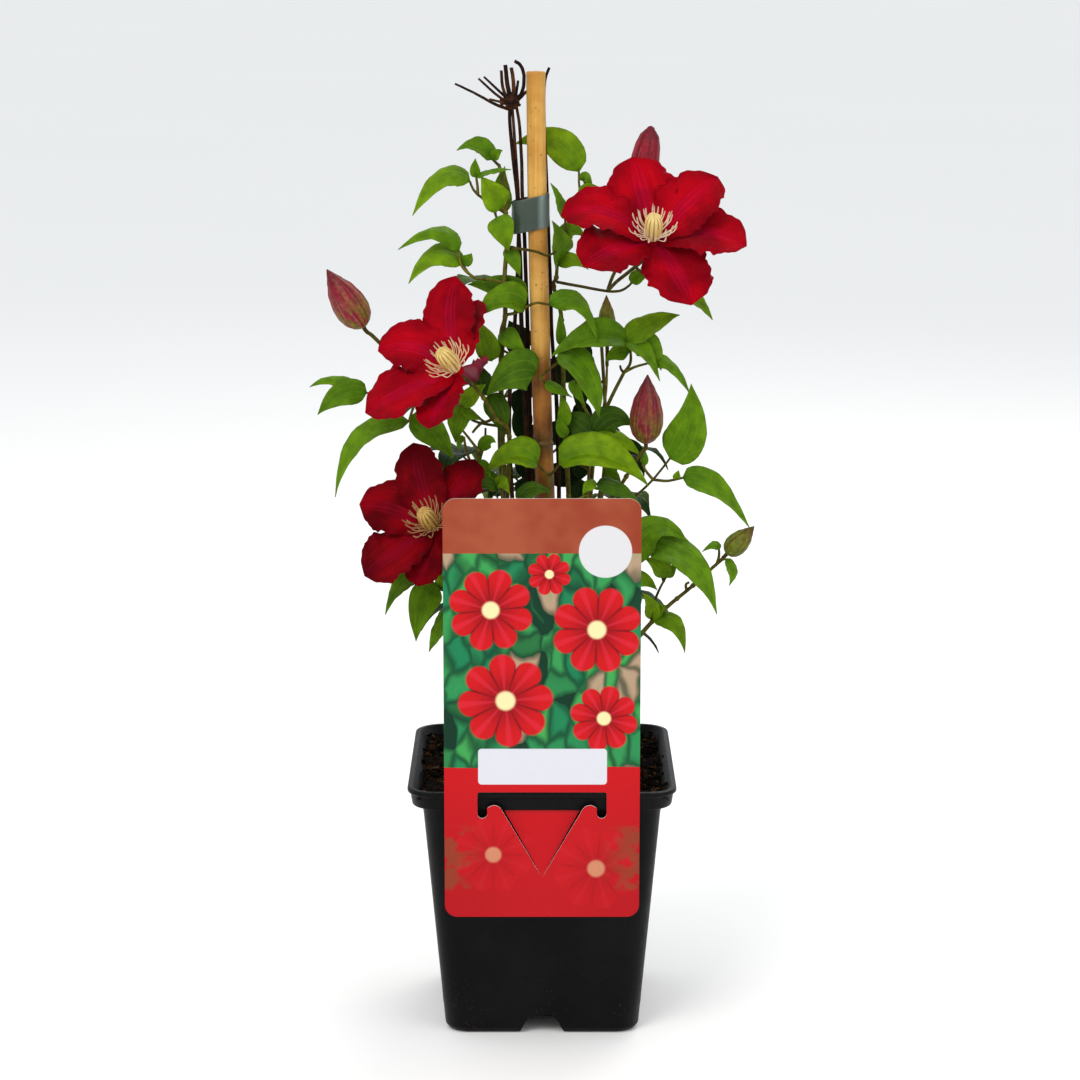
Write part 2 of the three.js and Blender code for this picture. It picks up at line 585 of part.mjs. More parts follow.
// Each leaflet is base, mid, tip, width, face, fold.
const VINES = {
  vine_left_high: {
    foot: [-19, 5],
    stem: [[-19, 6, 200], [-21, 3, 300], [-22.5, 0, 340], [-23, -3, 388], [-20.6, -4, 402], [-21, -4, 421],
      [-19.6, -3, 441], [-18.9, -3, 453], [-20.2, -3, 460], [-18.9, -3.4, 470], [-21.4, -3, 478],
      [-24, -3, 487]],
    twigs: [
      [[-24, -3, 486.5], [-27.4, -3, 489.6]],
      [[-20.2, -3, 459.8], [-25, -4, 463], [-30, -5, 466], [-36, -6, 470.6], [-38.6, -6, 474], [-40, -6, 477.6]],
      [[-35.6, -6, 470.4], [-35.8, -6.5, 475], [-36.5, -6, 480]],
      [[-20.2, -3, 459.8], [-21.6, -3, 463]],
      [[-26.3, -4.2, 463.6], [-26, -5, 460], [-25.3, -6, 457.6]],
      [[-21, -4, 421], [-25, -6, 422], [-30, -7, 423], [-38, -8, 424], [-42, -8, 428], [-44, -8, 431.6]],
      [[-38, -8, 424], [-43, -10, 428.2], [-45.6, -10, 432.5], [-46.5, -10, 438.6]],
      [[-19.6, -3, 441], [-15, -6.5, 440.4], [-9, -8.3, 439.6], [-3, -8.5, 438.4], [2.4, -7.6, 436.4],
        [5, -7, 437], [8, -6, 438.6]],
      [[-20.6, -4, 403], [-14, -6, 404.5], [-8, -8.4, 408], [-3, -8.8, 409.8], [1, -8.8, 409.4], [4, -8.6, 408.8]],
      [[-23, -3, 388], [-26, -5, 381], [-28.6, -6, 377]],
      [[-21, -4, 421], [-14, -3.5, 419], [-8, -3, 417]],
      [[-22.8, -2.4, 386], [-21.6, 6, 383], [-17, 12, 381.4], [-9, 12, 383]],
    ],
    leaves: [
      [[-27.4, -3, 489.4], [-36, -5, 497], [-47.2, -7, 494.6], 13, 'up', 12],
      [[-27.4, -3, 489.4], [-25, -5, 493], [-21.8, -7, 494.8], 6, 'front', 10],
      [[-40, -6, 477], [-55.5, -10, 479.5], [-72, -12, 458.5], 16, 'up', -8],
      [[-36.4, -6, 479.6], [-28, -7, 483.5], [-17, -7, 484], 9, 'flat', -10],
      [[-36.4, -6, 479.6], [-37.2, -8, 485], [-36.8, -10, 490.3], 6, 'front', 10],
      [[-21.5, -3, 462], [-27.5, -7, 471], [-34, -9, 480.5], 16, 'front', 8],
      [[-20.2, -3, 460.4], [-22.5, 7, 473], [-20.5, 9, 486], 11, 'front', 5],
      [[-25.4, -6, 458.2], [-21.8, -9, 450], [-18.6, -7, 438.5], 15, 'front', 6],
      [[-19.6, -2, 441], [-15.6, -5, 434], [-12.2, -5, 424.5], 9, 'front', 0],
      [[-46.4, -10, 438.4], [-58, -14, 450], [-80.2, -16, 439.6], 14, 'up', -22],
      [[-44.6, -8, 431.4], [-59, -12, 436.6], [-74.5, -16, 420.6], 17, 'up', -6],
      [[-43.6, -8, 431], [-41, -9, 434.6], [-39.2, -10, 437.6], 7, 'front', 8],
      [[-8.5, -3, 417.5], [-25, -1, 419.5], [-41.6, -2, 420.2], 13, 'front', 6],
      [[-9.6, -8, 407], [-22, -12, 410.2], [-35.8, -15, 402.4], 24, 'up', 26],
      [[3.4, -8.6, 408.6], [20.5, -13, 409.8], [31.2, -15, 388], 14, 'right', -10],
      [[-28.4, -6, 377.4], [-31.6, -7, 388.5], [-36.8, -8, 400.4], 14, 'front', 6],
      [[-22.4, -3, 394.5], [-17, -9, 389], [-8.2, -9.5, 380.4], 12, 'front', -10],
      [[-9, 12, 383], [-14, 12, 391], [-18.5, 12, 400], 17, 'front', 4],
    ],
  },
  vine_right_high: {
    foot: [15, 13],
    stem: [[17, 14, 200], [15, 13, 300], [12.5, 12, 350], [11, 11.5, 400], [6.6, 11, 419], [8, 9, 424],
      [8.4, 8, 431]],
    twigs: [
      [[8, 9.4, 421.6], [22, 8, 419], [36.6, 6, 416.4], [43.5, 4, 416.6], [47.5, 2, 418.6], [50, 1, 421]],
      [[8.4, 8, 431], [10, 11, 440], [11.5, 12, 446], [13.2, 10, 449], [12.8, 8, 457]],
      [[8.4, 8, 431], [14, 14, 446], [19, 15, 460], [21.5, 13, 468], [20.6, 12, 476], [20.5, 12, 483]],
      [[21, 13.4, 465], [22.6, 9, 469]],
      [[52, -8, 430], [64, -8, 420], [77, -10, 415.5]],
      [[21.5, 13, 468], [24, 12, 473], [23.5, 12, 477.5]],
      [[11, 11.5, 398], [12, 7, 390], [10.6, 4, 386]],
    ],
    stalks: [
      { to: 'bloom_1', path: [[36.6, 6, 416.4], [42, 4, 422], [52, -8, 430], [60.6, -16, 438]] },
      { to: 'bud_2', path: [[36.6, 6, 416.4], [38.6, 12, 422.5], [46, 16, 440], [52.4, 13, 462]] },
    ],
    leaves: [
      [[8.2, 7.6, 430], [10.4, 0, 443], [5.6, 3.5, 455.6], 17, 'right', 8],
      [[11, 12, 444.6], [16.5, 12, 451], [24.5, 12, 446], 10, 'front', -8],
      [[8.4, 8, 430.6], [17, 5, 434], [26, 3, 428.4], 9, 'front', -6],
      [[12.9, 8, 457.6], [10, 3, 467.2], [4.8, 2, 476.6], 8, 'right', -6],
      [[20.5, 12, 482.4], [6.6, 12, 499.8], [-15.2, 13, 498], 19, 'front', -5],
      [[22.5, 9, 468.6], [26, 6, 473], [31.5, 4, 474.5], 9, 'front', 6],
      [[50, 1, 421], [55, -4, 425.4], [62, -6, 426], 8, 'front', 6],
      [[76.5, -10, 415.6], [87, -12, 410.6], [95.4, -15, 400.2], 11, 'right', 4],
      [[10.6, 4, 386], [10.6, 2, 395], [9.8, 2, 405], 6, 'front', 6],
      [[23.2, 12, 477], [24.4, 10, 479.6], [28.4, 8, 474.6], 7, 'front', -12],
    ],
  },
  vine_right_mid: {
    foot: [24, 5],
    stem: [[26, 6, 200], [27, 5, 290], [31, 4, 335], [36.6, 3, 351], [46, 0, 370.5]],
    twigs: [
      [[46, 0, 370.5], [44.5, -1, 372.2], [43.8, -1, 374.6]],
      [[46, 0, 370.5], [49.6, 0, 376], [49.4, -2, 384], [47.5, -4, 388]],
      [[46, 0, 370.5], [52, -1, 373.6], [59, -2, 375.6]],
      [[32.4, 4, 338], [23, 4, 352], [20, 2, 364], [15, -5, 374], [10, -8, 379.6], [9.4, -9, 382.4]],
      [[12, -7.4, 377.4], [8, -9, 375.4], [3, -10, 371.4], [-1.4, -10, 368], [-3.4, -10, 370.4]],
      [[-1, -10, 368.4], [1.6, -9.6, 364.4]],
      [[33.4, 3.6, 342], [36, 5.6, 360], [36.5, 6, 376]],
    ],
    stalks: [
      { to: 'bud_4', path: [[36.5, 6, 374], [36.6, 6, 382]] },
    ],
    leaves: [
      [[47.6, -4, 387.4], [27, -9, 390.4], [5.2, -9.6, 379.4], 22, 'up', 18],
      [[47.6, -5, 388], [57.4, -9, 382], [66.2, -12, 365.6], 13, 'right', 6],
      [[48.4, -3, 388], [61, 0, 397.6], [77.2, 1, 403], 17, 'up', 6],
      [[50, -1, 388.6], [60.5, -2.6, 384.6], [67, -3.4, 371.6], 16, 'front', -6],
      [[49.2, -1.4, 382.4], [42, 2, 381.6], [35.5, 1, 376.6], 10, 'front', 0],
      [[9.4, -9.4, 382.6], [24, -15, 369], [32, -18, 344.6], 23, 'right', 10],
      [[58.6, -2, 375.4], [71.6, -5, 375], [83.6, -8, 357.4], 10, 'right', -10],
      [[-2.8, -10, 370.4], [-16, -14, 370.6], [-31.4, -16, 357.2], 24, 'front', 5],
      [[0.6, -9.6, 365], [8, -9.6, 361.6], [17, -9, 356.4], 8, 'up', -8],
      [[17.6, 3, 366], [19.4, -1, 360], [24.6, -4, 351.6], 7, 'front', -8],
    ],
  },
  vine_right_low: {
    foot: [17, -12],
    stem: [[20, -14, 200], [30, -14, 285], [40.2, -13, 299], [47.6, -12, 311], [52.6, -11, 319.6]],
    twigs: [
      [[32, -14, 287.5], [44, -12, 294], [53.4, -10, 300.4], [62.8, -9, 309.4], [72.2, -8, 321.4]],
      [[62.8, -9, 309.4], [70, -10, 308.6], [75.4, -11, 309.4], [79.6, -12, 310.4]],
      [[62.8, -9, 309.4], [59, -9, 314], [56.6, -8.6, 318.4]],
      [[26, -14, 262], [26, -8, 300], [27.4, -4, 330], [29.6, -2, 336]],
      [[26.4, -6.4, 315], [18, -4, 322], [12, -3, 340]],
      [[30, -14, 285], [33, -8, 304], [35.2, -6, 313]],
    ],
    stalks: [
      { to: 'bud_3', path: [[52.6, -11, 319.6], [56.8, -10.4, 325.6]] },
    ],
    leaves: [
      [[72, -8, 321], [82.6, -10, 339], [83.8, -12, 364.2], 24, 'front', 5],
      [[79.4, -12, 310.6], [98.4, -14, 304.4], [117.8, -18, 281.4], 17, 'right', 8],
      [[75.8, -11, 309.4], [76.4, -12, 312], [77.4, -13, 314.8], 4.5, 'front', 6],
      [[56.6, -8.6, 318], [58, -9, 321.4], [58.2, -9.4, 326.2], 5, 'front', 0],
      [[29.4, -2, 336], [40, -3, 344.4], [51, -2, 340], 17, 'front', -4],
      [[29.4, -2.6, 335.6], [43, -7, 333.2], [56.2, -7, 322.6], 12, 'up', -8],
      [[28.8, -2.9, 333.8], [20, 1, 342], [12.4, 3, 347], 16, 'front', -6],
      [[12, -3, 340], [12.6, -4, 349], [10, -5, 358.6], 8, 'front', 8],
      [[14, -3, 334], [10.6, -5, 339.6], [9.6, -6, 346], 7, 'front', 8],
      [[35, -6, 313], [40, -8, 312], [45, -9, 306.6], 8, 'front', -8],
    ],
  },
  vine_right_bottom: {
    foot: [28, -6],
    stem: [[34, -8, 170], [47, -12, 206], [57.6, -12, 220.6], [62.6, -12, 226.6], [70, -11, 234.2],
      [77, -10.4, 240.4], [86, -10, 248], [96.6, -9, 258]],
    twigs: [
      [[62.6, -12, 227], [63.4, -15, 236], [67, -18, 246], [70.6, -20, 252.8]],
      [[69.4, -19, 250], [66, -18, 262], [60, -17, 271]],
      [[47, -12, 206], [49, -16, 240], [50, -18, 262]],
      [[82.4, -10.2, 245.2], [82, -10, 248.6], [84, -10, 250]],
      [[99.4, -8.7, 260.6], [100.6, -9.6, 265], [100.6, -10.4, 269]],
      [[102, -8.4, 263], [104.6, -9, 263.6]],
    ],
    stalks: [
      { to: 'bud_5', path: [[96.6, -9, 258], [102, -8.4, 263]] },
    ],
    leaves: [
      [[49.8, -18, 260], [64, -20, 281], [82.4, -20, 273.6], 21, 'up', 5],
      [[60, -17, 270.6], [83.4, -25, 262.4], [99.8, -30, 231.2], 24, 'right', 4],
      [[70.4, -20, 252.6], [66.2, -21, 260], [58.4, -20.6, 263.4], 11, 'front', 6],
      [[70.6, -20, 252.6], [73.6, -20, 257], [77, -21, 259.6], 6.5, 'front', 4],
      [[49.4, -17, 250], [57.4, -16, 251.6], [65.8, -17, 245.2], 10, 'front', -8],
      [[62.6, -12.4, 228], [62.4, -16, 236], [57.4, -19, 243.8], 9, 'front', 6],
      [[63, -12.4, 228.6], [66.6, -14, 233.6], [70.8, -16, 236.6], 7, 'front', 8],
      [[63, -12.2, 228], [75.6, -17, 226], [81.8, -20, 208.4], 12, 'up', -10],
      [[100.6, -10.4, 268.8], [97.6, -12, 271.6], [91, -14, 267.6], 6.5, 'up', -10],
      [[104.6, -9, 263.6], [108.6, -11, 256.4], [106.6, -12, 248], 8, 'right', -6],
    ],
  },
  vine_left_mid: {
    foot: [-20, -5],
    stem: [[-22, -6, 200], [-20, -8, 290], [-18.4, -9, 334], [-25.6, -14, 344], [-32.8, -21, 356],
      [-39.6, -28, 364.6]],
    twigs: [
      [[-26.4, -15, 345], [-30, -13, 343], [-33, -12, 342.8], [-38.6, -11, 347.6], [-45, -11, 351.2]],
      [[-33, -12, 342.8], [-36.6, -12, 339.4], [-39.2, -12, 336.2]],
      [[-45, -11, 351.2], [-56, -10, 354], [-72, -12, 352], [-88, -15, 357], [-98.6, -17, 359]],
      [[-72, -12, 352], [-74, -15, 346], [-75, -18, 342.6]],
      [[-19.6, -9.8, 335.6], [-26, -5, 348], [-30, -3, 358]],
    ],
    stalks: [
      { to: 'bloom_2', path: [[-39.6, -28, 364.6], [-43.4, -33, 367.4]] },
      { to: 'bud_1', path: [[-56, -10, 354], [-70, -9, 368], [-84, -12, 380], [-94, -17, 390.4]] },
    ],
    leaves: [
      [[-98, -17, 358.8], [-113.4, -22, 357.8], [-126.4, -25, 346.4], 15, 'front', 6],
      [[-99, -17, 359.4], [-116, -19, 366.2], [-130.6, -21, 362.2], 9, 'up', -12],
      [[-75, -18, 342], [-103, -24, 332], [-117, -27, 299.2], 15, 'left', 8],
      [[-74.2, -15.6, 345.4], [-60.6, -18, 335.4], [-50, -20, 321.2], 17, 'front', 6],
      [[-45, -11, 351], [-47.6, -12, 342], [-48.8, -13, 330.6], 13, 'front', -6],
      [[-45, -11, 351], [-38.6, -12, 358.6], [-31.6, -15, 363.6], 10, 'front', 8],
      [[-44, -11, 350.6], [-40, -14, 346.6], [-34.6, -16, 343.6], 7, 'up', -8],
      [[-29.8, -3, 357.6], [-24, -6, 347], [-21, -3.4, 334], 14, 'front', -4],
      [[-30, -2.6, 358], [-35.6, 8, 368], [-38.4, 9, 378], 14, 'front', 6],
    ],
  },
  vine_left_low: {
    foot: [-14, -17],
    stem: [[-20, -20, 170], [-34, -26, 225], [-46, -30, 262], [-56, -36, 276]],
    twigs: [
      [[-34, -26, 225], [-48, -30, 238], [-60, -34, 248], [-72, -34, 252]],
      [[-34, -26, 225], [-44, -30, 230], [-49, -32, 232]],
      [[-46, -30, 262], [-40, -18, 300], [-36, -12, 322], [-34.6, -11, 326]],
      [[-35, -11.4, 325], [-41.6, -10, 333.6], [-45, -9, 338]],
      [[-35.6, -12, 323.4], [-32.4, -10, 329.6], [-31.8, -9, 339]],
      [[-38, -15, 312], [-42.6, -16, 326], [-44, -15, 334]],
      [[-40, -18, 300], [-32, -18, 303], [-24, -18, 304]],
    ],
    stalks: [
      { to: 'bloom_3', path: [[-56, -36, 276], [-59, -43, 279]] },
    ],
    leaves: [
      [[-71.4, -34, 252], [-81, -38, 247.6], [-89.4, -42, 230.8], 13, 'left', 6],
      [[-60, -34, 249], [-68.4, -38, 236.4], [-72, -41, 215.2], 18, 'front', 8],
      [[-56, -32, 244.6], [-57, -33, 252], [-59.6, -34, 260], 9, 'front', 4],
      [[-48.6, -32, 232], [-56.6, -36, 224.6], [-64.6, -39, 209.2], 15, 'left', 6],
      [[-24, -18, 304], [-34, -20, 308.4], [-45.6, -22, 299], 14, 'up', 8],
      [[-25, -18, 304], [-23, -20, 308.6], [-18, -21, 300.6], 10, 'up', -10],
      [[-37, -14, 318], [-33, -16, 314], [-30.6, -17, 305.6], 10, 'front', 4],
      [[-37.6, -14.6, 315], [-42, -12, 311], [-47, -10, 300], 13, 'front', -4],
      [[-44, -15, 333.8], [-46.6, -15, 331], [-46.6, -15, 325.6], 4, 'front', 6],
      [[-34.8, -11, 325.4], [-30.4, -12, 331.6], [-26, -13, 330.6], 8, 'front', -6],
    ],
  },
  vine_middle: {
    foot: [1, -17],
    stem: [[1, -19, 200], [2, -16, 280], [4, -12.6, 305], [4.2, -12, 311.6]],
    twigs: [
      [[4.2, -12, 311.6], [7, -12, 314.4], [9.8, -12, 318.4]],
      [[4.2, -12, 311.6], [0.4, -12.4, 315], [-2.4, -12.4, 318.6]],
      [[2, -16, 280], [14, -18, 294], [24, -18, 300], [31, -17, 307]],
      [[2, -16, 280], [-6, -18, 288], [-12, -18, 296]],
      [[1.2, -18.6, 220], [12, -24, 232], [22, -28, 240]],
      [[1.2, -18.6, 220], [-8, -24, 230], [-14, -28, 238]],
    ],
    leaves: [
      [[9.6, -12, 318.2], [34, -17, 323], [60.4, -20, 305.6], 27, 'up', 24],
      [[-2, -12.4, 318.4], [-16, -16, 322.6], [-31.2, -18, 314.2], 23, 'up', 24],
      [[31, -17, 307], [26.6, -19, 306], [23, -21, 300.6], 8, 'up', -8],
      [[31, -17, 307], [42, -20, 304.6], [56, -23, 295.6], 12, 'up', -8],
      [[-12, -18, 296], [-6, -21, 303], [6, -23, 302], 13, 'up', 6],
      [[22, -28, 240], [36, -34, 242], [46, -38, 226], 20, 'up', -6],
      [[-14, -28, 238], [-26, -34, 236], [-34, -38, 222], 18, 'up', -6],
    ],
  },
};

// Shoots on the far side. Each leaf has three leaflets on a forked stalk, and is set by its height on
// the stem, the compass angle that it points in, the reach of its stalk and the size of its leaflets.
const BACK_VINES = {
  vine_back_left: {
    foot: [-12, 20],
    stem: [[-14, 24, 200], [-20, 28, 270], [-24, 30, 340], [-20, 28, 410]],
    leaves: [[215, 175, 24, 28], [245, 205, 24, 32], [275, 100, 30, 33], [305, 160, 24, 34], [335, 185, 26, 32],
      [300, -6, 12, 24, 1], [322, -6, 12, 25, 1], [352, -8, 11, 26, 1], [405, 125, 20, 30]],
  },
  vine_back_right: {
    foot: [14, 24],
    stem: [[20, 27, 200], [30, 30, 270], [36, 32, 330], [33, 34, 392]],
    leaves: [[200, 20, 20, 28], [225, -25, 22, 30], [250, 75, 28, 32], [280, 50, 18, 28], [310, 25, 14, 26],
      [298, 172, 12, 25, 1], [318, 0, 5, 17, 1], [322, 172, 13, 26, 1], [360, 185, 12, 26, 1]],
  },
  vine_back_middle: {
    foot: [2, 27],
    stem: [[3, 34, 200], [4, 42, 280], [4, 44, 350]],
    leaves: [[225, 95, 20, 29], [290, 150, 22, 32], [316, 62, 20, 30], [345, 92, 20, 31]],
  },
};

function leafSolid(base, mid, tip, width, face, fold) {
  return blade({ base, mid, tip }, width, face, fold, leafForm(width), 1, 0.5);
}

// A leaf stalk runs on a little way into the blade that it carries.
function twigSolid(points) {
  const path = points.map((point) => point.clone());
  const end = path.at(-1);
  const along = end.clone().sub(path.at(-2)).normalize();
  path.push(end.clone().addScaledVector(along, 0.5));
  return limb(path, STALK.twig, STALK.twigTip, 3);
}

function footPoint([x, y]) {
  return new THREE.Vector3(x, y, SOIL.top - SOIL.footDepth);
}

function stemPath({ foot, stem }) {
  return [footPoint(foot), new THREE.Vector3(foot[0], foot[1], SOIL.top + 4), ...stem.map(seen)];
}

// The last two points of a stalk, square under the bloom or the bud that it carries.
function stalkEnd(name) {
  const frame = BLOOMS[name] ? bloomFrame(BLOOMS[name]) : budFrame(BUDS[name]);
  const under = BLOOMS[name] ? DISC.foot + GAP : GAP;
  return [under + 3, under].map((drop) => frame.centre.clone().addScaledVector(frame.up, -drop));
}

function makeVine(vine) {
  const pieces = [limb(stemPath(vine), STALK.stem, STALK.stemTip, 3)];
  vine.twigs.forEach((twig) => pieces.push(twigSolid(twig.map(seen))));
  (vine.stalks || []).forEach(({ to, path }) => {
    const points = [...path.map(seen), ...stalkEnd(to)];
    pieces.push(limb(points, STALK.stemTip, STALK.bloom, 4));
  });
  const ends = [...vine.twigs, vine.stem].map((path) => seen(path.at(-1)));
  vine.leaves.forEach(([base, mid, tip, width, face, fold]) => {
    const root = ends.find((end) => end.distanceTo(seen(base)) < 1.8) || seen(base);
    pieces.push(leafSolid(root, seen(mid), seen(tip), width, vector(FACES[face]).normalize(), fold));
  });
  return fuse(pieces);
}

function stemPointAt(path, z) {
  const index = path.findIndex((point) => point.z >= z);
  if (index < 0) return path.at(-1).clone();
  const [low, high] = [path[index - 1], path[index]];
  return low.clone().lerp(high, (z - low.z) / (high.z - low.z));
}

// One leaf of three leaflets: the stalk rises outwards, the leaflets arch over and droop. An upright leaf
// spreads its leaflets up and down and looks to the front.
function threefoldLeaf(root, compass, reach, size, upright) {
  const angle = THREE.MathUtils.degToRad(compass);
  const out = new THREE.Vector3(Math.cos(angle), Math.sin(angle), 0);
  const across = upright ? new THREE.Vector3(0, 0, 1) : new THREE.Vector3(-out.y, out.x, 0);
  const fall = upright ? 0.12 : 0.4;
  const place = (far, wide, high) => root.clone().addScaledVector(out, far).addScaledVector(across, wide)
    .add(new THREE.Vector3(0, 0, high));
  const fork = place(reach, 0, reach * 0.45);
  const pieces = [twigSolid([root, place(reach * 0.5, 0, reach * 0.3), fork])];
  [[1, 0, 1], [0.05, 1, 0.84], [0.05, -1, 0.8]].forEach(([far, wide, share]) => {
    const length = size * share;
    const step = (along, high) => place(reach + far * along, wide * along, reach * 0.45 + high);
    const face = upright ? new THREE.Vector3(0, -1, 0.2) : new THREE.Vector3(0, 0, 1).addScaledVector(out, 0.45);
    const [middle, end] = [step(length * 0.62, 2.4), step(length * 1.08, -length * fall)];
    pieces.push(blade({ base: fork, mid: middle, tip: end }, length * 0.58, face, 9, { ...LEAF, rows: 3 }, 1, 0.5));
  });
  return pieces;
}

function makeBackVine(vine) {
  const path = stemPath(vine);
  const pieces = [limb(path, STALK.stem, STALK.stemTip, 3)];
  vine.leaves.forEach(([height, compass, reach, size, upright]) => {
    pieces.push(...threefoldLeaf(stemPointAt(path, height), compass, reach, size, upright));
  });
  return fuse(pieces);
}

// The compost: rough on top, with a plain hole for each foot

function soilHeight(x, y) {
  return SOIL.top + SOIL.relief * (Math.sin(0.31 * x + 1.3 * Math.sin(0.17 * y)) * Math.cos(0.27 * y + 0.6)
    + 0.5 * Math.sin(0.83 * x + 0.61 * y));
}

function makeSoil() {
  const body = potCavity(GAP, POT.floor, POT.collarFoot).add(mouthSolid(GAP));
  const half = POT.mouthSide / 2;
  const cell = 2 * half / SOIL.cells;
  const grid = [];
  for (let row = 0; row <= SOIL.cells; row += 1) {
    grid.push([]);
    for (let column = 0; column <= SOIL.cells; column += 1) {
      const [x, y] = [-half + column * cell, -half + row * cell];
      grid[row].push(new THREE.Vector3(x, y, soilHeight(x, y)));
    }
  }
  const high = grid.map((line) => line.map((point) => new THREE.Vector3(point.x, point.y, POT.height + 10)));
  const cover = sheetSolid(high, grid);
  let soil = body.subtract(cover);
  const hole = (x, y, radius, foot, sides) => {
    const cutter = new THREE.CylinderGeometry(radius, radius, 70, sides);
    cutter.rotateX(Math.PI / 2);
    cutter.translate(x, y, foot + 35);
    soil = soil.subtract(solidFrom(cutter));
  };
  const bore = STALK.stem + GAP + 0.2;
  [...Object.values(VINES), ...Object.values(BACK_VINES)].forEach(({ foot }) => {
    hole(foot[0], foot[1], bore, SOIL.top - SOIL.footDepth - GAP, 7);
  });
  hole(CROWN.x, CROWN.y, CROWN.radius + 0.7, CROWN.foot - GAP, 12);
  const caneHole = caneRings(GAP).slice(0, 3);
  caneHole[0].forEach((point) => { point.z -= GAP; });
  return soil.subtract(loftSolid(caneHole));
}

// The care label: a flat sheet, slotted, with a tongue bent back behind the collar

function makeTag() {
  const { width, foot, top, corner, thick, slot, tongue, hump } = TAG;
  const half = width / 2;
  const sheet = new THREE.Shape();
  sheet.moveTo(-half + corner, foot);
  sheet.lineTo(half - corner, foot);
  sheet.absarc(half - corner, foot + corner, corner, -Math.PI / 2, 0);
  sheet.lineTo(half, top - corner);
  sheet.absarc(half - corner, top - corner, corner, 0, Math.PI / 2);
  sheet.lineTo(-half + corner, top);
  sheet.absarc(-half + corner, top - corner, corner, Math.PI / 2, Math.PI);
  sheet.lineTo(-half, foot + corner);
  sheet.absarc(-half + corner, foot + corner, corner, Math.PI, 1.5 * Math.PI);
  const legMiddle = slot.half - slot.legWidth / 2;
  const legTurn = slot.legFoot + slot.legWidth / 2;
  const opening = new THREE.Path();
  opening.moveTo(-slot.half, slot.high);
  opening.lineTo(-slot.half, legTurn);
  opening.absarc(-legMiddle, legTurn, slot.legWidth / 2, Math.PI, 2 * Math.PI);
  opening.lineTo(-slot.half + slot.legWidth, slot.low);
  opening.quadraticCurveTo((-slot.half + slot.legWidth - tongue.shoulder) / 2, slot.low + hump,
    -tongue.shoulder - tongue.cut, slot.low);
  opening.lineTo(0, tongue.apex);
  opening.lineTo(tongue.shoulder + tongue.cut, slot.low);
  opening.quadraticCurveTo((slot.half - slot.legWidth + tongue.shoulder) / 2, slot.low + hump,
    slot.half - slot.legWidth, slot.low);
  opening.lineTo(slot.half - slot.legWidth, legTurn);
  opening.absarc(legMiddle, legTurn, slot.legWidth / 2, Math.PI, 2 * Math.PI);
  opening.lineTo(slot.half, slot.high);
  sheet.holes.push(opening);
  const front = new THREE.ExtrudeGeometry(sheet, { depth: thick, bevelEnabled: false, curveSegments: 7 });
  front.rotateX(Math.PI / 2);
  front.translate(0, tagBack(), 0);
  return solidFrom(front).add(tongueSolid());
}

const tagBack = () => -POT.rimSide / 2 - GAP;

// The tongue narrows to its root at the apex and leans back until its wide end is behind the collar.
function tongueSolid() {
  const { thick, slot, tongue } = TAG;
  const root = { z: tongue.apex - 3, half: 1.2, y: tagBack() - thick };
  const lean = (z) => {
    const share = Math.min(Math.max(z - tongue.apex, 0) / (tongue.bend - tongue.apex), 1);
    return root.y + share * (-tongue.back - thick - root.y);
  };
  const rows = [root.z, tongue.apex, tongue.apex + 4, tongue.bend, slot.low, tongue.top].map((z) => {
    const wide = Math.max(z - tongue.apex, 0) / (slot.low - tongue.apex);
    const half = Math.max(tongue.shoulder * Math.min(wide, 1) - tongue.cut, root.half);
    return { z, half, y: lean(z) };
  });
  return loftSolid(rows.map(({ z, half, y }) => [
    new THREE.Vector3(-half, y, z), new THREE.Vector3(half, y, z),
    new THREE.Vector3(half, y + thick, z), new THREE.Vector3(-half, y + thick, z),
  ]));
}

// Assembly

const FINISH = {
  pot: finish('#1b1b1c', 0.45),
  compost: finish('#2b1d14', 0.95),
  cane: finish('#cf9a4e', 0.5),
  tie: finish('#5b7068', 0.35),
  dead: finish('#2a1512', 0.8),
  leaf: finish('#4c7f1c', 0.55),
  tepal: finish('#a8001e', 0.6),
  head: finish('#e6c98f', 0.6),
  bud: finish('#7a3b45', 0.55),
  tag: finish('#c41e24', 0.3),
};

const part = new THREE.Group();
const pottedThings = new THREE.Group();
const plant = new THREE.Group();

pottedThings.add(named('pot', makePot(), FINISH.pot));
pottedThings.add(named('compost', makeSoil(), FINISH.compost));
pottedThings.add(named('care_tag', makeTag(), FINISH.tag));
plant.add(named('bamboo_cane', makeCane(), FINISH.cane));
plant.add(named('tie_band', makeTie(), FINISH.tie));
plant.add(named('old_stems', makeOldStems(), FINISH.dead));
Object.entries(VINES).forEach(([name, vine]) => plant.add(named(name, makeVine(vine), FINISH.leaf)));
Object.entries(BACK_VINES).forEach(([name, vine]) => plant.add(named(name, makeBackVine(vine), FINISH.leaf)));
Object.entries(BLOOMS).forEach(([name, bloom]) => {
  plant.add(named(`${name}_tepals`, makeTepals(bloom), FINISH.tepal));
  plant.add(named(`${name}_stamens`, makeHead(bloom), FINISH.head));
});
Object.entries(BUDS).forEach(([name, bud]) => plant.add(named(name, makeBud(bud), FINISH.bud)));

part.add(pottedThings, plant);

export default part;
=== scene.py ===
"""A potted red clematis on a bamboo cane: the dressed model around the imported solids.

Every piece is built in metres, in the frame of the solids. Places on the plant are listed in
millimetres as they look on the plane y = 0 from the eye point, with their own depth y.
"""

import json
import logging
import math
import random
from dataclasses import dataclass, field
from enum import Enum
from typing import Any, Callable, Sequence

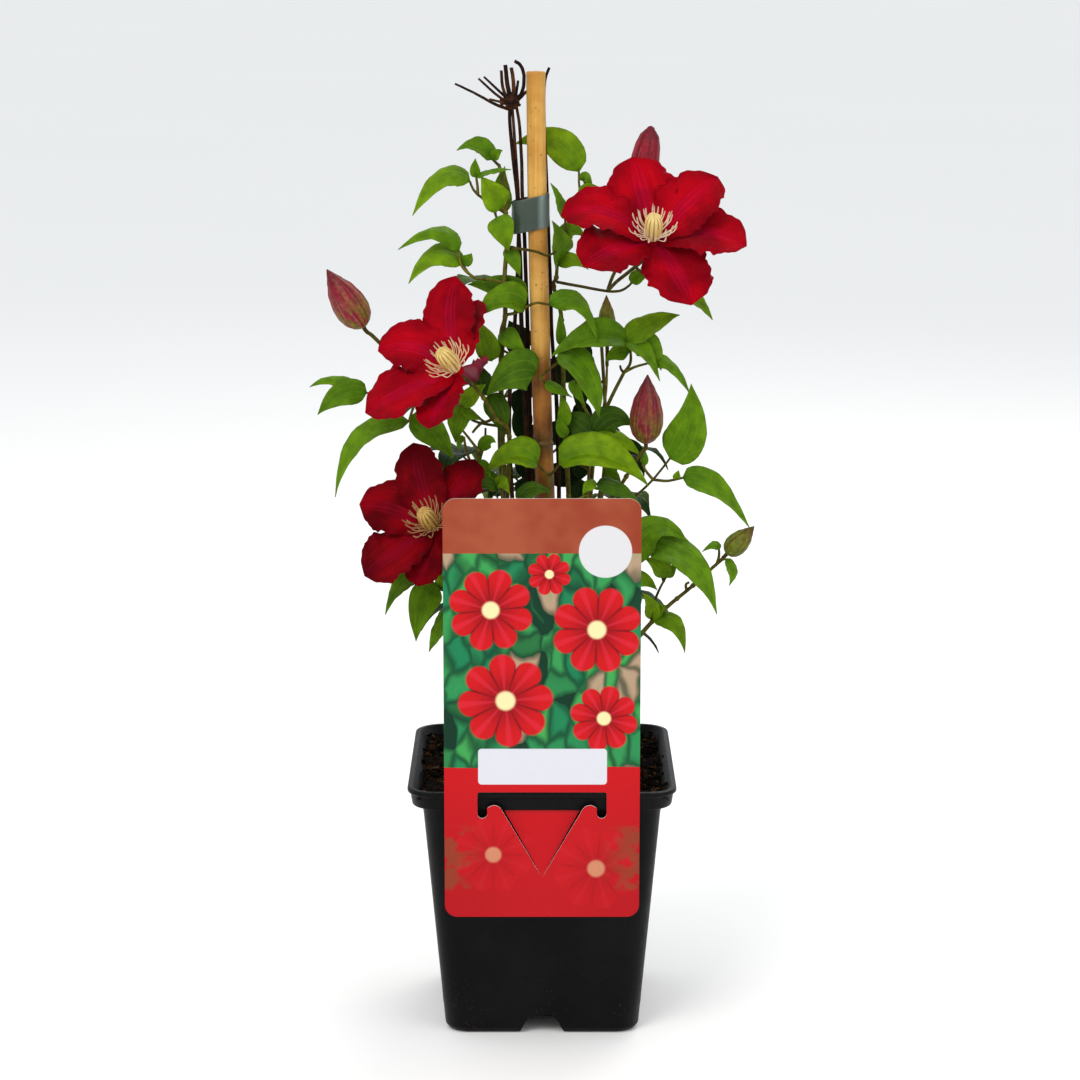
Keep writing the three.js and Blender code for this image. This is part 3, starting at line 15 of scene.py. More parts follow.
import bpy
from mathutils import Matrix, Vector

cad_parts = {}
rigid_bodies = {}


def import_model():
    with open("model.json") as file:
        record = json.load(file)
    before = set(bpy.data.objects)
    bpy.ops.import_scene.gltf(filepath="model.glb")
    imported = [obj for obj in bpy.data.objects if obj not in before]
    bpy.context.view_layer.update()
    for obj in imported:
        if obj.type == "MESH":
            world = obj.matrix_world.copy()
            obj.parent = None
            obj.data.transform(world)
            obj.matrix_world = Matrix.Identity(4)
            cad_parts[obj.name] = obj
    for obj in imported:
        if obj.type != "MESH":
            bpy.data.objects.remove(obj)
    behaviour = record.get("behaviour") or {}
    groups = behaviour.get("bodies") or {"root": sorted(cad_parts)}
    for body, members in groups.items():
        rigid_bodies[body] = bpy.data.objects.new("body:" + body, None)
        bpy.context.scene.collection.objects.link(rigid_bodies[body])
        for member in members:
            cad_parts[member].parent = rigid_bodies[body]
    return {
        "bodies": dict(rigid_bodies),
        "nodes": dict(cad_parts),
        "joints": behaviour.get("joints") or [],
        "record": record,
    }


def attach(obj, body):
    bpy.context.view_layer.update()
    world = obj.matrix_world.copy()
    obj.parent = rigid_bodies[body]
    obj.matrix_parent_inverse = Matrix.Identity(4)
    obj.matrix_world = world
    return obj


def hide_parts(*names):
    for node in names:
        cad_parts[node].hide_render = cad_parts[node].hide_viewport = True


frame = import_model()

LOG = logging.getLogger("clematis")
MM = 0.001
BODY = "root"
EYE_DISTANCE = 1727.0
EYE_HEIGHT = 629.0
SKIN = "skin"
EVEN_SKIN = (0.5, 0.5, 0.5, 0.0)

Point = Sequence[float]
Ring = list[Vector]
Socket = bpy.types.NodeSocket
Four = tuple[float, float, float, float]
Skins = Sequence[Sequence[Four]]
Pair = tuple[float, float]
Pairs = tuple[Pair, ...]
Row = tuple[float, ...]
Material = bpy.types.Material
Thing = bpy.types.Object


def seen(point: Point) -> Vector:
    """Carries a listed place along the line of sight to its own depth.

    Args:
        point: x, y and z in millimetres, x and z as they look on the plane y = 0.

    Returns:
        The true place in metres.
    """
    x, y, z = point
    scale = 1.0 + y / EYE_DISTANCE
    return Vector((x * scale, y, EYE_HEIGHT + (z - EYE_HEIGHT) * scale)) * MM


def plain(point: Point) -> Vector:
    """Returns a true place given in millimetres as a vector in metres."""
    return Vector(point) * MM


def paint(code: str) -> Four:
    """Turns a written colour into the linear colour that a shader takes.

    Args:
        code: Six hexadecimal digits after a hash sign.

    Returns:
        Red, green, blue and a full alpha.
    """
    levels = [int(code[i:i + 2], 16) / 255.0 for i in (1, 3, 5)]
    red, green, blue = [v / 12.92 if v <= 0.04045 else ((v + 0.055) / 1.055) ** 2.4 for v in levels]
    return red, green, blue, 1.0


class Face(Enum):
    """The way that the upper side of a leaflet looks."""

    FRONT = (0.0, -1.0, 0.25)
    UP = (0.0, -0.65, 0.75)
    FLAT = (0.0, -0.3, 1.0)
    LEFT = (-0.6, -0.7, 0.45)
    RIGHT = (0.6, -0.7, 0.45)

    @property
    def direction(self) -> Vector:
        """Returns the unit vector of this way."""
        return Vector(self.value).normalized()


# Old stems: thickness at foot and at top, and the places passed.
OLD_STEMS: tuple = (
    (1.6, 0.9, ((-9, 4, 131), (-7, 5, 200), (-8, 4, 260), (-8.5, 3, 330), (-10, 2.5, 370), (-11.4, 2, 400),
    (-12, 1.5, 430), (-12.8, 1, 448), (-13.8, 0.6, 470), (-16, 0, 490), (-17.9, 0, 510), (-17.6, 0, 521))),
    (1.4, 0.8, ((-4, 9, 130), (-6, 10, 260), (-7, 9.4, 350), (-8.2, 7.6, 400), (-9.4, 5, 440), (-10.8, 3.2, 470),
    (-11.4, 2.5, 490), (-12.5, 1.5, 508), (-14.5, 0, 521))),
    (1.4, 0.8, ((-7, 8, 131), (-11, 9, 200), (-17, 8, 300), (-18.4, 7, 350), (-15, 6, 400), (-13.2, 4.6, 440),
    (-13.2, 3, 470), (-15.2, 1.5, 500), (-16.6, 0.4, 521))),
    (1.4, 0.75, ((-5, 8, 128), (-3.6, 9, 140), (6, 13, 200), (9.5, 10, 290), (8.6, 7, 340), (7.6, 6.6, 365),
    (5.5, 6.6, 395), (4.8, 6.6, 420), (3.7, 6.8, 450), (2.5, 7, 480), (1.2, 7, 515), (1.5, 6.6, 532), (4, 5.6, 540))),
)

# Twigs of the brush at the top, listed alike.
BRUSH: tuple = (
    (1, 0.6, ((-17.5, 0, 517), (-25, -1, 519.6), (-36, -2, 525.5), (-48, -3, 531.2))),
    (0.9, 0.6, ((-18, 0, 520), (-26, -3, 526), (-35, -6, 534))),
    (0.9, 0.6, ((-18, 0, 522), (-25, 3, 528.5), (-32, 5, 535))),
    (0.8, 0.6, ((-18, 0, 520.5), (-23.5, -4, 521.5), (-29, -7, 522.7))),
    (1, 0.8, ((-18, 0, 520), (-21.5, -1, 529), (-22.5, -1, 538.5))),
    (1.4, 1.1, ((-17, 0, 520), (-19, 1, 531), (-20.3, 1, 541.5))),
    (1.2, 1, ((-16, 0, 520), (-15.6, -2, 531), (-17, -3, 540))),
    (0.9, 0.7, ((-15, 0, 521), (-14, 2, 527), (-13.2, 3, 533))),
    (1, 0.8, ((-14.5, 0, 521), (-11, 4, 524.5), (-7, 7.6, 527), (1.2, 7.4, 522))),
    (1, 1, ((-14.5, 0, 521), (-10.6, 3, 528), (-9.9, 3.6, 536), (-12, 2, 541.4), (-15, 1, 543.6))),
)

# Blooms: centre, the way each one looks, and per tepal its middle, tip and width.
BLOOMS: dict[str, dict] = {
    "bloom_1": {
        "centre": (61.5, -25, 444.5), "axis": (0.02, -0.64, 0.77),
        "tepals": (
            ((56, -14, 469), (50, -3, 491), 38), ((80, -20, 464.5), (97.5, -11, 480), 36),
            ((90, -27, 449), (114, -28, 441.5), 33), ((74, -37, 428), (83.5, -53, 408.5), 38),
            ((41.5, -36, 440), (23, -50, 430), 37), ((35, -27, 460.5), (10.5, -23, 458.5), 31),
        ),
    },
    "bloom_2": {
        "centre": (-47.5, -38, 371), "axis": (-0.455, -0.585, 0.672),
        "tepals": (
            ((-51, -22, 399), (-48, -15, 425), 34), ((-43, -25, 393), (-35.5, -10, 411.5), 24),
            ((-70, -25, 384), (-92, -22, 382.5), 33), ((-75, -44, 360.5), (-99.5, -44, 347.5), 36),
            ((-56, -53, 354), (-64, -66, 338.5), 27), ((-40, -18, 372), (-36, 2, 366), 22),
        ),
    },
    "bloom_3": {
        "centre": (-61, -50, 281), "axis": (-0.3, -0.71, 0.64),
        "tepals": (
            ((-68, -38, 307), (-72.5, -28, 330.5), 28), ((-83, -42, 291.5), (-103.5, -39, 295), 32),
            ((-83, -57, 267), (-101, -60, 253.5), 34), ((-66, -62, 263), (-70.5, -69, 247.5), 25),
            ((-49, -41, 301), (-38, -30, 321), 30), ((-39, -60, 277), (-18, -64, 272), 28),
        ),
    },
}

# Buds: foot, tip, greatest radius and whether the tip is opening.
BUDS: dict[str, dict] = {
    "bud_1": {"base": (-100, -20, 396.5), "tip": (-120, -26, 428.5), "radius": 9.6, "lips": False},
    "bud_2": {"base": (55, 12, 478), "tip": (60.5, 12, 508), "radius": 8, "lips": True},
    "bud_3": {"base": (58.6, -10, 330.5), "tip": (59.3, -13, 369.2), "radius": 9.4, "lips": False},
    "bud_4": {"base": (36.5, 5, 389), "tip": (36, 3, 414.2), "radius": 5, "lips": False},
    "bud_5": {"base": (105.2, -8, 266.5), "tip": (120.4, -11, 282.4), "radius": 6.4, "lips": False},
}


@dataclass(frozen=True)
class Vine:
    """One listed shoot: where its stem stands in the compost, the places it passes, leaf stalks and leaves.

    A leaflet of a front shoot has base, middle, tip, width, face and fold, and stalks lead to blooms and
    buds. A leaf of a back shoot has height, compass direction, reach and size, with 1 for an upright one.
    """

    foot: Pair
    stem: tuple
    leaves: tuple
    twigs: tuple = ()
    stalks: dict[str, tuple] = field(default_factory=dict)


# The shoots at the front.
VINES: dict[str, Vine] = {}
VINES["vine_left_high"] = Vine(
    foot=(-19, 5),
    stem=(
        (-19, 6, 200), (-21, 3, 300), (-22.5, 0, 340), (-23, -3, 388), (-20.6, -4, 402), (-21, -4, 421),
        (-19.6, -3, 441), (-18.9, -3, 453), (-20.2, -3, 460), (-18.9, -3.4, 470), (-21.4, -3, 478), (-24, -3, 487),
    ),
    twigs=(
        ((-24, -3, 486.5), (-27.4, -3, 489.6)),
        ((-20.2, -3, 459.8), (-25, -4, 463), (-30, -5, 466), (-36, -6, 470.6), (-38.6, -6, 474), (-40, -6, 477.6)),
        ((-35.6, -6, 470.4), (-35.8, -6.5, 475), (-36.5, -6, 480)), ((-20.2, -3, 459.8), (-21.6, -3, 463)),
        ((-26.3, -4.2, 463.6), (-26, -5, 460), (-25.3, -6, 457.6)),
        ((-21, -4, 421), (-25, -6, 422), (-30, -7, 423), (-38, -8, 424), (-42, -8, 428), (-44, -8, 431.6)),
        ((-38, -8, 424), (-43, -10, 428.2), (-45.6, -10, 432.5), (-46.5, -10, 438.6)),
        ((-19.6, -3, 441), (-15, -6.5, 440.4), (-9, -8.3, 439.6), (-3, -8.5, 438.4), (2.4, -7.6, 436.4),
        (5, -7, 437), (8, -6, 438.6)),
        ((-20.6, -4, 403), (-14, -6, 404.5), (-8, -8.4, 408), (-3, -8.8, 409.8), (1, -8.8, 409.4), (4, -8.6, 408.8)),
        ((-23, -3, 388), (-26, -5, 381), (-28.6, -6, 377)), ((-21, -4, 421), (-14, -3.5, 419), (-8, -3, 417)),
        ((-22.8, -2.4, 386), (-21.6, 6, 383), (-17, 12, 381.4), (-9, 12, 383)),
    ),
    leaves=(
        ((-27.4, -3, 489.4), (-36, -5, 497), (-47.2, -7, 494.6), 13, "up", 12),
        ((-27.4, -3, 489.4), (-25, -5, 493), (-21.8, -7, 494.8), 6, "front", 10),
        ((-40, -6, 477), (-55.5, -10, 479.5), (-72, -12, 458.5), 16, "up", -8),
        ((-36.4, -6, 479.6), (-28, -7, 483.5), (-17, -7, 484), 9, "flat", -10),
        ((-36.4, -6, 479.6), (-37.2, -8, 485), (-36.8, -10, 490.3), 6, "front", 10),
        ((-21.5, -3, 462), (-27.5, -7, 471), (-34, -9, 480.5), 16, "front", 8),
        ((-20.2, -3, 460.4), (-22.5, 7, 473), (-20.5, 9, 486), 11, "front", 5),
        ((-25.4, -6, 458.2), (-21.8, -9, 450), (-18.6, -7, 438.5), 15, "front", 6),
        ((-19.6, -2, 441), (-15.6, -5, 434), (-12.2, -5, 424.5), 9, "front", 0),
        ((-46.4, -10, 438.4), (-58, -14, 450), (-80.2, -16, 439.6), 14, "up", -22),
        ((-44.6, -8, 431.4), (-59, -12, 436.6), (-74.5, -16, 420.6), 17, "up", -6),
        ((-43.6, -8, 431), (-41, -9, 434.6), (-39.2, -10, 437.6), 7, "front", 8),
        ((-8.5, -3, 417.5), (-25, -1, 419.5), (-41.6, -2, 420.2), 13, "front", 6),
        ((-9.6, -8, 407), (-22, -12, 410.2), (-35.8, -15, 402.4), 24, "up", 26),
        ((3.4, -8.6, 408.6), (20.5, -13, 409.8), (31.2, -15, 388), 14, "right", -10),
        ((-28.4, -6, 377.4), (-31.6, -7, 388.5), (-36.8, -8, 400.4), 14, "front", 6),
        ((-22.4, -3, 394.5), (-17, -9, 389), (-8.2, -9.5, 380.4), 12, "front", -10),
        ((-9, 12, 383), (-14, 12, 391), (-18.5, 12, 400), 17, "front", 4),
    ),
)
VINES["vine_right_high"] = Vine(
    foot=(15, 13),
    stem=(
        (17, 14, 200), (15, 13, 300), (12.5, 12, 350), (11, 11.5, 400), (6.6, 11, 419), (8, 9, 424), (8.4, 8, 431),
    ),
    twigs=(
        ((8, 9.4, 421.6), (22, 8, 419), (36.6, 6, 416.4), (43.5, 4, 416.6), (47.5, 2, 418.6), (50, 1, 421)),
        ((8.4, 8, 431), (10, 11, 440), (11.5, 12, 446), (13.2, 10, 449), (12.8, 8, 457)),
        ((8.4, 8, 431), (14, 14, 446), (19, 15, 460), (21.5, 13, 468), (20.6, 12, 476), (20.5, 12, 483)),
        ((21, 13.4, 465), (22.6, 9, 469)), ((52, -8, 430), (64, -8, 420), (77, -10, 415.5)),
        ((21.5, 13, 468), (24, 12, 473), (23.5, 12, 477.5)), ((11, 11.5, 398), (12, 7, 390), (10.6, 4, 386)),
    ),
    stalks={
        "bloom_1": ((36.6, 6, 416.4), (42, 4, 422), (52, -8, 430), (60.6, -16, 438)),
        "bud_2": ((36.6, 6, 416.4), (38.6, 12, 422.5), (46, 16, 440), (52.4, 13, 462)),
    },
    leaves=(
        ((8.2, 7.6, 430), (10.4, 0, 443), (5.6, 3.5, 455.6), 17, "right", 8),
        ((11, 12, 444.6), (16.5, 12, 451), (24.5, 12, 446), 10, "front", -8),
        ((8.4, 8, 430.6), (17, 5, 434), (26, 3, 428.4), 9, "front", -6),
        ((12.9, 8, 457.6), (10, 3, 467.2), (4.8, 2, 476.6), 8, "right", -6),
        ((20.5, 12, 482.4), (6.6, 12, 499.8), (-15.2, 13, 498), 19, "front", -5),
        ((22.5, 9, 468.6), (26, 6, 473), (31.5, 4, 474.5), 9, "front", 6),
        ((50, 1, 421), (55, -4, 425.4), (62, -6, 426), 8, "front", 6),
        ((76.5, -10, 415.6), (87, -12, 410.6), (95.4, -15, 400.2), 11, "right", 4),
        ((10.6, 4, 386), (10.6, 2, 395), (9.8, 2, 405), 6, "front", 6),
        ((23.2, 12, 477), (24.4, 10, 479.6), (28.4, 8, 474.6), 7, "front", -12),
    ),
)
VINES["vine_right_mid"] = Vine(
    foot=(24, 5), stem=((26, 6, 200), (27, 5, 290), (31, 4, 335), (36.6, 3, 351), (46, 0, 370.5)),
    twigs=(
        ((46, 0, 370.5), (44.5, -1, 372.2), (43.8, -1, 374.6)),
        ((46, 0, 370.5), (49.6, 0, 376), (49.4, -2, 384), (47.5, -4, 388)),
        ((46, 0, 370.5), (52, -1, 373.6), (59, -2, 375.6)),
        ((32.4, 4, 338), (23, 4, 352), (20, 2, 364), (15, -5, 374), (10, -8, 379.6), (9.4, -9, 382.4)),
        ((12, -7.4, 377.4), (8, -9, 375.4), (3, -10, 371.4), (-1.4, -10, 368), (-3.4, -10, 370.4)),
        ((-1, -10, 368.4), (1.6, -9.6, 364.4)), ((33.4, 3.6, 342), (36, 5.6, 360), (36.5, 6, 376)),
    ),
    stalks={"bud_4": ((36.5, 6, 374), (36.6, 6, 382))},
    leaves=(
        ((47.6, -4, 387.4), (27, -9, 390.4), (5.2, -9.6, 379.4), 22, "up", 18),
        ((47.6, -5, 388), (57.4, -9, 382), (66.2, -12, 365.6), 13, "right", 6),
        ((48.4, -3, 388), (61, 0, 397.6), (77.2, 1, 403), 17, "up", 6),
        ((50, -1, 388.6), (60.5, -2.6, 384.6), (67, -3.4, 371.6), 16, "front", -6),
        ((49.2, -1.4, 382.4), (42, 2, 381.6), (35.5, 1, 376.6), 10, "front", 0),
        ((9.4, -9.4, 382.6), (24, -15, 369), (32, -18, 344.6), 23, "right", 10),
        ((58.6, -2, 375.4), (71.6, -5, 375), (83.6, -8, 357.4), 10, "right", -10),
        ((-2.8, -10, 370.4), (-16, -14, 370.6), (-31.4, -16, 357.2), 24, "front", 5),
        ((0.6, -9.6, 365), (8, -9.6, 361.6), (17, -9, 356.4), 8, "up", -8),
        ((17.6, 3, 366), (19.4, -1, 360), (24.6, -4, 351.6), 7, "front", -8),
    ),
)
VINES["vine_right_low"] = Vine(
    foot=(17, -12), stem=((20, -14, 200), (30, -14, 285), (40.2, -13, 299), (47.6, -12, 311), (52.6, -11, 319.6)),
    twigs=(
        ((32, -14, 287.5), (44, -12, 294), (53.4, -10, 300.4), (62.8, -9, 309.4), (72.2, -8, 321.4)),
        ((62.8, -9, 309.4), (70, -10, 308.6), (75.4, -11, 309.4), (79.6, -12, 310.4)),
        ((62.8, -9, 309.4), (59, -9, 314), (56.6, -8.6, 318.4)),
        ((26, -14, 262), (26, -8, 300), (27.4, -4, 330), (29.6, -2, 336)),
        ((26.4, -6.4, 315), (18, -4, 322), (12, -3, 340)), ((30, -14, 285), (33, -8, 304), (35.2, -6, 313)),
    ),
    stalks={"bud_3": ((52.6, -11, 319.6), (56.8, -10.4, 325.6))},
    leaves=(
        ((72, -8, 321), (82.6, -10, 339), (83.8, -12, 364.2), 24, "front", 5),
        ((79.4, -12, 310.6), (98.4, -14, 304.4), (117.8, -18, 281.4), 17, "right", 8),
        ((75.8, -11, 309.4), (76.4, -12, 312), (77.4, -13, 314.8), 4.5, "front", 6),
        ((56.6, -8.6, 318), (58, -9, 321.4), (58.2, -9.4, 326.2), 5, "front", 0),
        ((29.4, -2, 336), (40, -3, 344.4), (51, -2, 340), 17, "front", -4),
        ((29.4, -2.6, 335.6), (43, -7, 333.2), (56.2, -7, 322.6), 12, "up", -8),
        ((28.8, -2.9, 333.8), (20, 1, 342), (12.4, 3, 347), 16, "front", -6),
        ((12, -3, 340), (12.6, -4, 349), (10, -5, 358.6), 8, "front", 8),
        ((14, -3, 334), (10.6, -5, 339.6), (9.6, -6, 346), 7, "front", 8),
        ((35, -6, 313), (40, -8, 312), (45, -9, 306.6), 8, "front", -8),
    ),
)
VINES["vine_right_bottom"] = Vine(
    foot=(28, -6),
    stem=(
        (34, -8, 170), (47, -12, 206), (57.6, -12, 220.6), (62.6, -12, 226.6), (70, -11, 234.2), (77, -10.4, 240.4),
        (86, -10, 248), (96.6, -9, 258),
    ),
    twigs=(
        ((62.6, -12, 227), (63.4, -15, 236), (67, -18, 246), (70.6, -20, 252.8)),
        ((69.4, -19, 250), (66, -18, 262), (60, -17, 271)), ((47, -12, 206), (49, -16, 240), (50, -18, 262)),
        ((82.4, -10.2, 245.2), (82, -10, 248.6), (84, -10, 250)),
        ((99.4, -8.7, 260.6), (100.6, -9.6, 265), (100.6, -10.4, 269)), ((102, -8.4, 263), (104.6, -9, 263.6)),
    ),
    stalks={"bud_5": ((96.6, -9, 258), (102, -8.4, 263))},
    leaves=(
        ((49.8, -18, 260), (64, -20, 281), (82.4, -20, 273.6), 21, "up", 5),
        ((60, -17, 270.6), (83.4, -25, 262.4), (99.8, -30, 231.2), 24, "right", 4),
        ((70.4, -20, 252.6), (66.2, -21, 260), (58.4, -20.6, 263.4), 11, "front", 6),
        ((70.6, -20, 252.6), (73.6, -20, 257), (77, -21, 259.6), 6.5, "front", 4),
        ((49.4, -17, 250), (57.4, -16, 251.6), (65.8, -17, 245.2), 10, "front", -8),
        ((62.6, -12.4, 228), (62.4, -16, 236), (57.4, -19, 243.8), 9, "front", 6),
        ((63, -12.4, 228.6), (66.6, -14, 233.6), (70.8, -16, 236.6), 7, "front", 8),
        ((63, -12.2, 228), (75.6, -17, 226), (81.8, -20, 208.4), 12, "up", -10),
        ((100.6, -10.4, 268.8), (97.6, -12, 271.6), (91, -14, 267.6), 6.5, "up", -10),
        ((104.6, -9, 263.6), (108.6, -11, 256.4), (106.6, -12, 248), 8, "right", -6),
    ),
)
VINES["vine_left_mid"] = Vine(
    foot=(-20, -5),
    stem=(
        (-22, -6, 200), (-20, -8, 290), (-18.4, -9, 334), (-25.6, -14, 344), (-32.8, -21, 356), (-39.6, -28, 364.6),
    ),
    twigs=(
        ((-26.4, -15, 345), (-30, -13, 343), (-33, -12, 342.8), (-38.6, -11, 347.6), (-45, -11, 351.2)),
        ((-33, -12, 342.8), (-36.6, -12, 339.4), (-39.2, -12, 336.2)),
        ((-45, -11, 351.2), (-56, -10, 354), (-72, -12, 352), (-88, -15, 357), (-98.6, -17, 359)),
        ((-72, -12, 352), (-74, -15, 346), (-75, -18, 342.6)), ((-19.6, -9.8, 335.6), (-26, -5, 348), (-30, -3, 358)),
    ),
    stalks={
        "bloom_2": ((-39.6, -28, 364.6), (-43.4, -33, 367.4)),
        "bud_1": ((-56, -10, 354), (-70, -9, 368), (-84, -12, 380), (-94, -17, 390.4)),
    },
    leaves=(
        ((-98, -17, 358.8), (-113.4, -22, 357.8), (-126.4, -25, 346.4), 15, "front", 6),
        ((-99, -17, 359.4), (-116, -19, 366.2), (-130.6, -21, 362.2), 9, "up", -12),
        ((-75, -18, 342), (-103, -24, 332), (-117, -27, 299.2), 15, "left", 8),
        ((-74.2, -15.6, 345.4), (-60.6, -18, 335.4), (-50, -20, 321.2), 17, "front", 6),
        ((-45, -11, 351), (-47.6, -12, 342), (-48.8, -13, 330.6), 13, "front", -6),
        ((-45, -11, 351), (-38.6, -12, 358.6), (-31.6, -15, 363.6), 10, "front", 8),
        ((-44, -11, 350.6), (-40, -14, 346.6), (-34.6, -16, 343.6), 7, "up", -8),
        ((-29.8, -3, 357.6), (-24, -6, 347), (-21, -3.4, 334), 14, "front", -4),
        ((-30, -2.6, 358), (-35.6, 8, 368), (-38.4, 9, 378), 14, "front", 6),
    ),
)
VINES["vine_left_low"] = Vine(
    foot=(-14, -17), stem=((-20, -20, 170), (-34, -26, 225), (-46, -30, 262), (-56, -36, 276)),
    twigs=(
        ((-34, -26, 225), (-48, -30, 238), (-60, -34, 248), (-72, -34, 252)),
        ((-34, -26, 225), (-44, -30, 230), (-49, -32, 232)),
        ((-46, -30, 262), (-40, -18, 300), (-36, -12, 322), (-34.6, -11, 326)),
        ((-35, -11.4, 325), (-41.6, -10, 333.6), (-45, -9, 338)),
        ((-35.6, -12, 323.4), (-32.4, -10, 329.6), (-31.8, -9, 339)),
        ((-38, -15, 312), (-42.6, -16, 326), (-44, -15, 334)), ((-40, -18, 300), (-32, -18, 303), (-24, -18, 304)),
    ),
    stalks={"bloom_3": ((-56, -36, 276), (-59, -43, 279))},
    leaves=(
        ((-71.4, -34, 252), (-81, -38, 247.6), (-89.4, -42, 230.8), 13, "left", 6),
        ((-60, -34, 249), (-68.4, -38, 236.4), (-72, -41, 215.2), 18, "front", 8),
        ((-56, -32, 244.6), (-57, -33, 252), (-59.6, -34, 260), 9, "front", 4),
        ((-48.6, -32, 232), (-56.6, -36, 224.6), (-64.6, -39, 209.2), 15, "left", 6),
        ((-24, -18, 304), (-34, -20, 308.4), (-45.6, -22, 299), 14, "up", 8),
        ((-25, -18, 304), (-23, -20, 308.6), (-18, -21, 300.6), 10, "up", -10),
        ((-37, -14, 318), (-33, -16, 314), (-30.6, -17, 305.6), 10, "front", 4),
        ((-37.6, -14.6, 315), (-42, -12, 311), (-47, -10, 300), 13, "front", -4),
        ((-44, -15, 333.8), (-46.6, -15, 331), (-46.6, -15, 325.6), 4, "front", 6),
        ((-34.8, -11, 325.4), (-30.4, -12, 331.6), (-26, -13, 330.6), 8, "front", -6),
    ),
)
VINES["vine_middle"] = Vine(
    foot=(1, -17), stem=((1, -19, 200), (2, -16, 280), (4, -12.6, 305), (4.2, -12, 311.6)),
    twigs=(
        ((4.2, -12, 311.6), (7, -12, 314.4), (9.8, -12, 318.4)),
        ((4.2, -12, 311.6), (0.4, -12.4, 315), (-2.4, -12.4, 318.6)),
        ((2, -16, 280), (14, -18, 294), (24, -18, 300), (31, -17, 307)),
        ((2, -16, 280), (-6, -18, 288), (-12, -18, 296)), ((1.2, -18.6, 220), (12, -24, 232), (22, -28, 240)),
        ((1.2, -18.6, 220), (-8, -24, 230), (-14, -28, 238)),
    ),
    leaves=(
        ((9.6, -12, 318.2), (34, -17, 323), (60.4, -20, 305.6), 27, "up", 24),
        ((-2, -12.4, 318.4), (-16, -16, 322.6), (-31.2, -18, 314.2), 23, "up", 24),
        ((31, -17, 307), (26.6, -19, 306), (23, -21, 300.6), 8, "up", -8),
        ((31, -17, 307), (42, -20, 304.6), (56, -23, 295.6), 12, "up", -8),
        ((-12, -18, 296), (-6, -21, 303), (6, -23, 302), 13, "up", 6),
        ((22, -28, 240), (36, -34, 242), (46, -38, 226), 20, "up", -6),
        ((-14, -28, 238), (-26, -34, 236), (-34, -38, 222), 18, "up", -6),
    ),
)

# The shoots behind the cane.
BACK_VINES: dict[str, Vine] = {}
BACK_VINES["vine_back_left"] = Vine(
    foot=(-12, 20), stem=((-14, 24, 200), (-20, 28, 270), (-24, 30, 340), (-20, 28, 410)),
    leaves=(
        (215, 175, 24, 28), (245, 205, 24, 32), (275, 100, 30, 33), (305, 160, 24, 34), (335, 185, 26, 32),
        (300, -6, 12, 24, 1), (322, -6, 12, 25, 1), (352, -8, 11, 26, 1), (405, 125, 20, 30),
    ),
)
BACK_VINES["vine_back_right"] = Vine(
    foot=(14, 24), stem=((20, 27, 200), (30, 30, 270), (36, 32, 330), (33, 34, 392)),
    leaves=(
        (200, 20, 20, 28), (225, -25, 22, 30), (250, 75, 28, 32), (280, 50, 18, 28), (310, 25, 14, 26),
        (298, 172, 12, 25, 1), (318, 0, 5, 17, 1), (322, 172, 13, 26, 1), (360, 185, 12, 26, 1),
    ),
)
BACK_VINES["vine_back_middle"] = Vine(
    foot=(2, 27), stem=((3, 34, 200), (4, 42, 280), (4, 44, 350)),
    leaves=(
        (225, 95, 20, 29), (290, 150, 22, 32), (316, 62, 20, 30), (345, 92, 20, 31),
    ),
)

# Leaflets whose green is lighter or darker than most, by shoot and number: 0 is dark, 1 is light.
# These tones hold painted light and shade as well as the leaves' own green: darker deep in the plant by the cane,
# lighter on leaves facing up.
LEAF_TONES: dict[str, dict[int, float]] = {
    "vine_middle": {0: 0.84, 1: 0.78, 3: 0.2, 4: 0.15}, "vine_right_mid": {0: 0.42, 5: 0.45, 7: 0.3},
    "vine_left_high": {12: 0.3, 13: 0.66, 17: 0.2}, "vine_right_high": {0: 0.5, 4: 0.85},
    "vine_right_low": {0: 0.62, 4: 0.1, 6: 0.05}, "vine_left_mid": {2: 0.66, 7: 0.2, 8: 0.15},
    "vine_left_low": {4: 0.2},
}


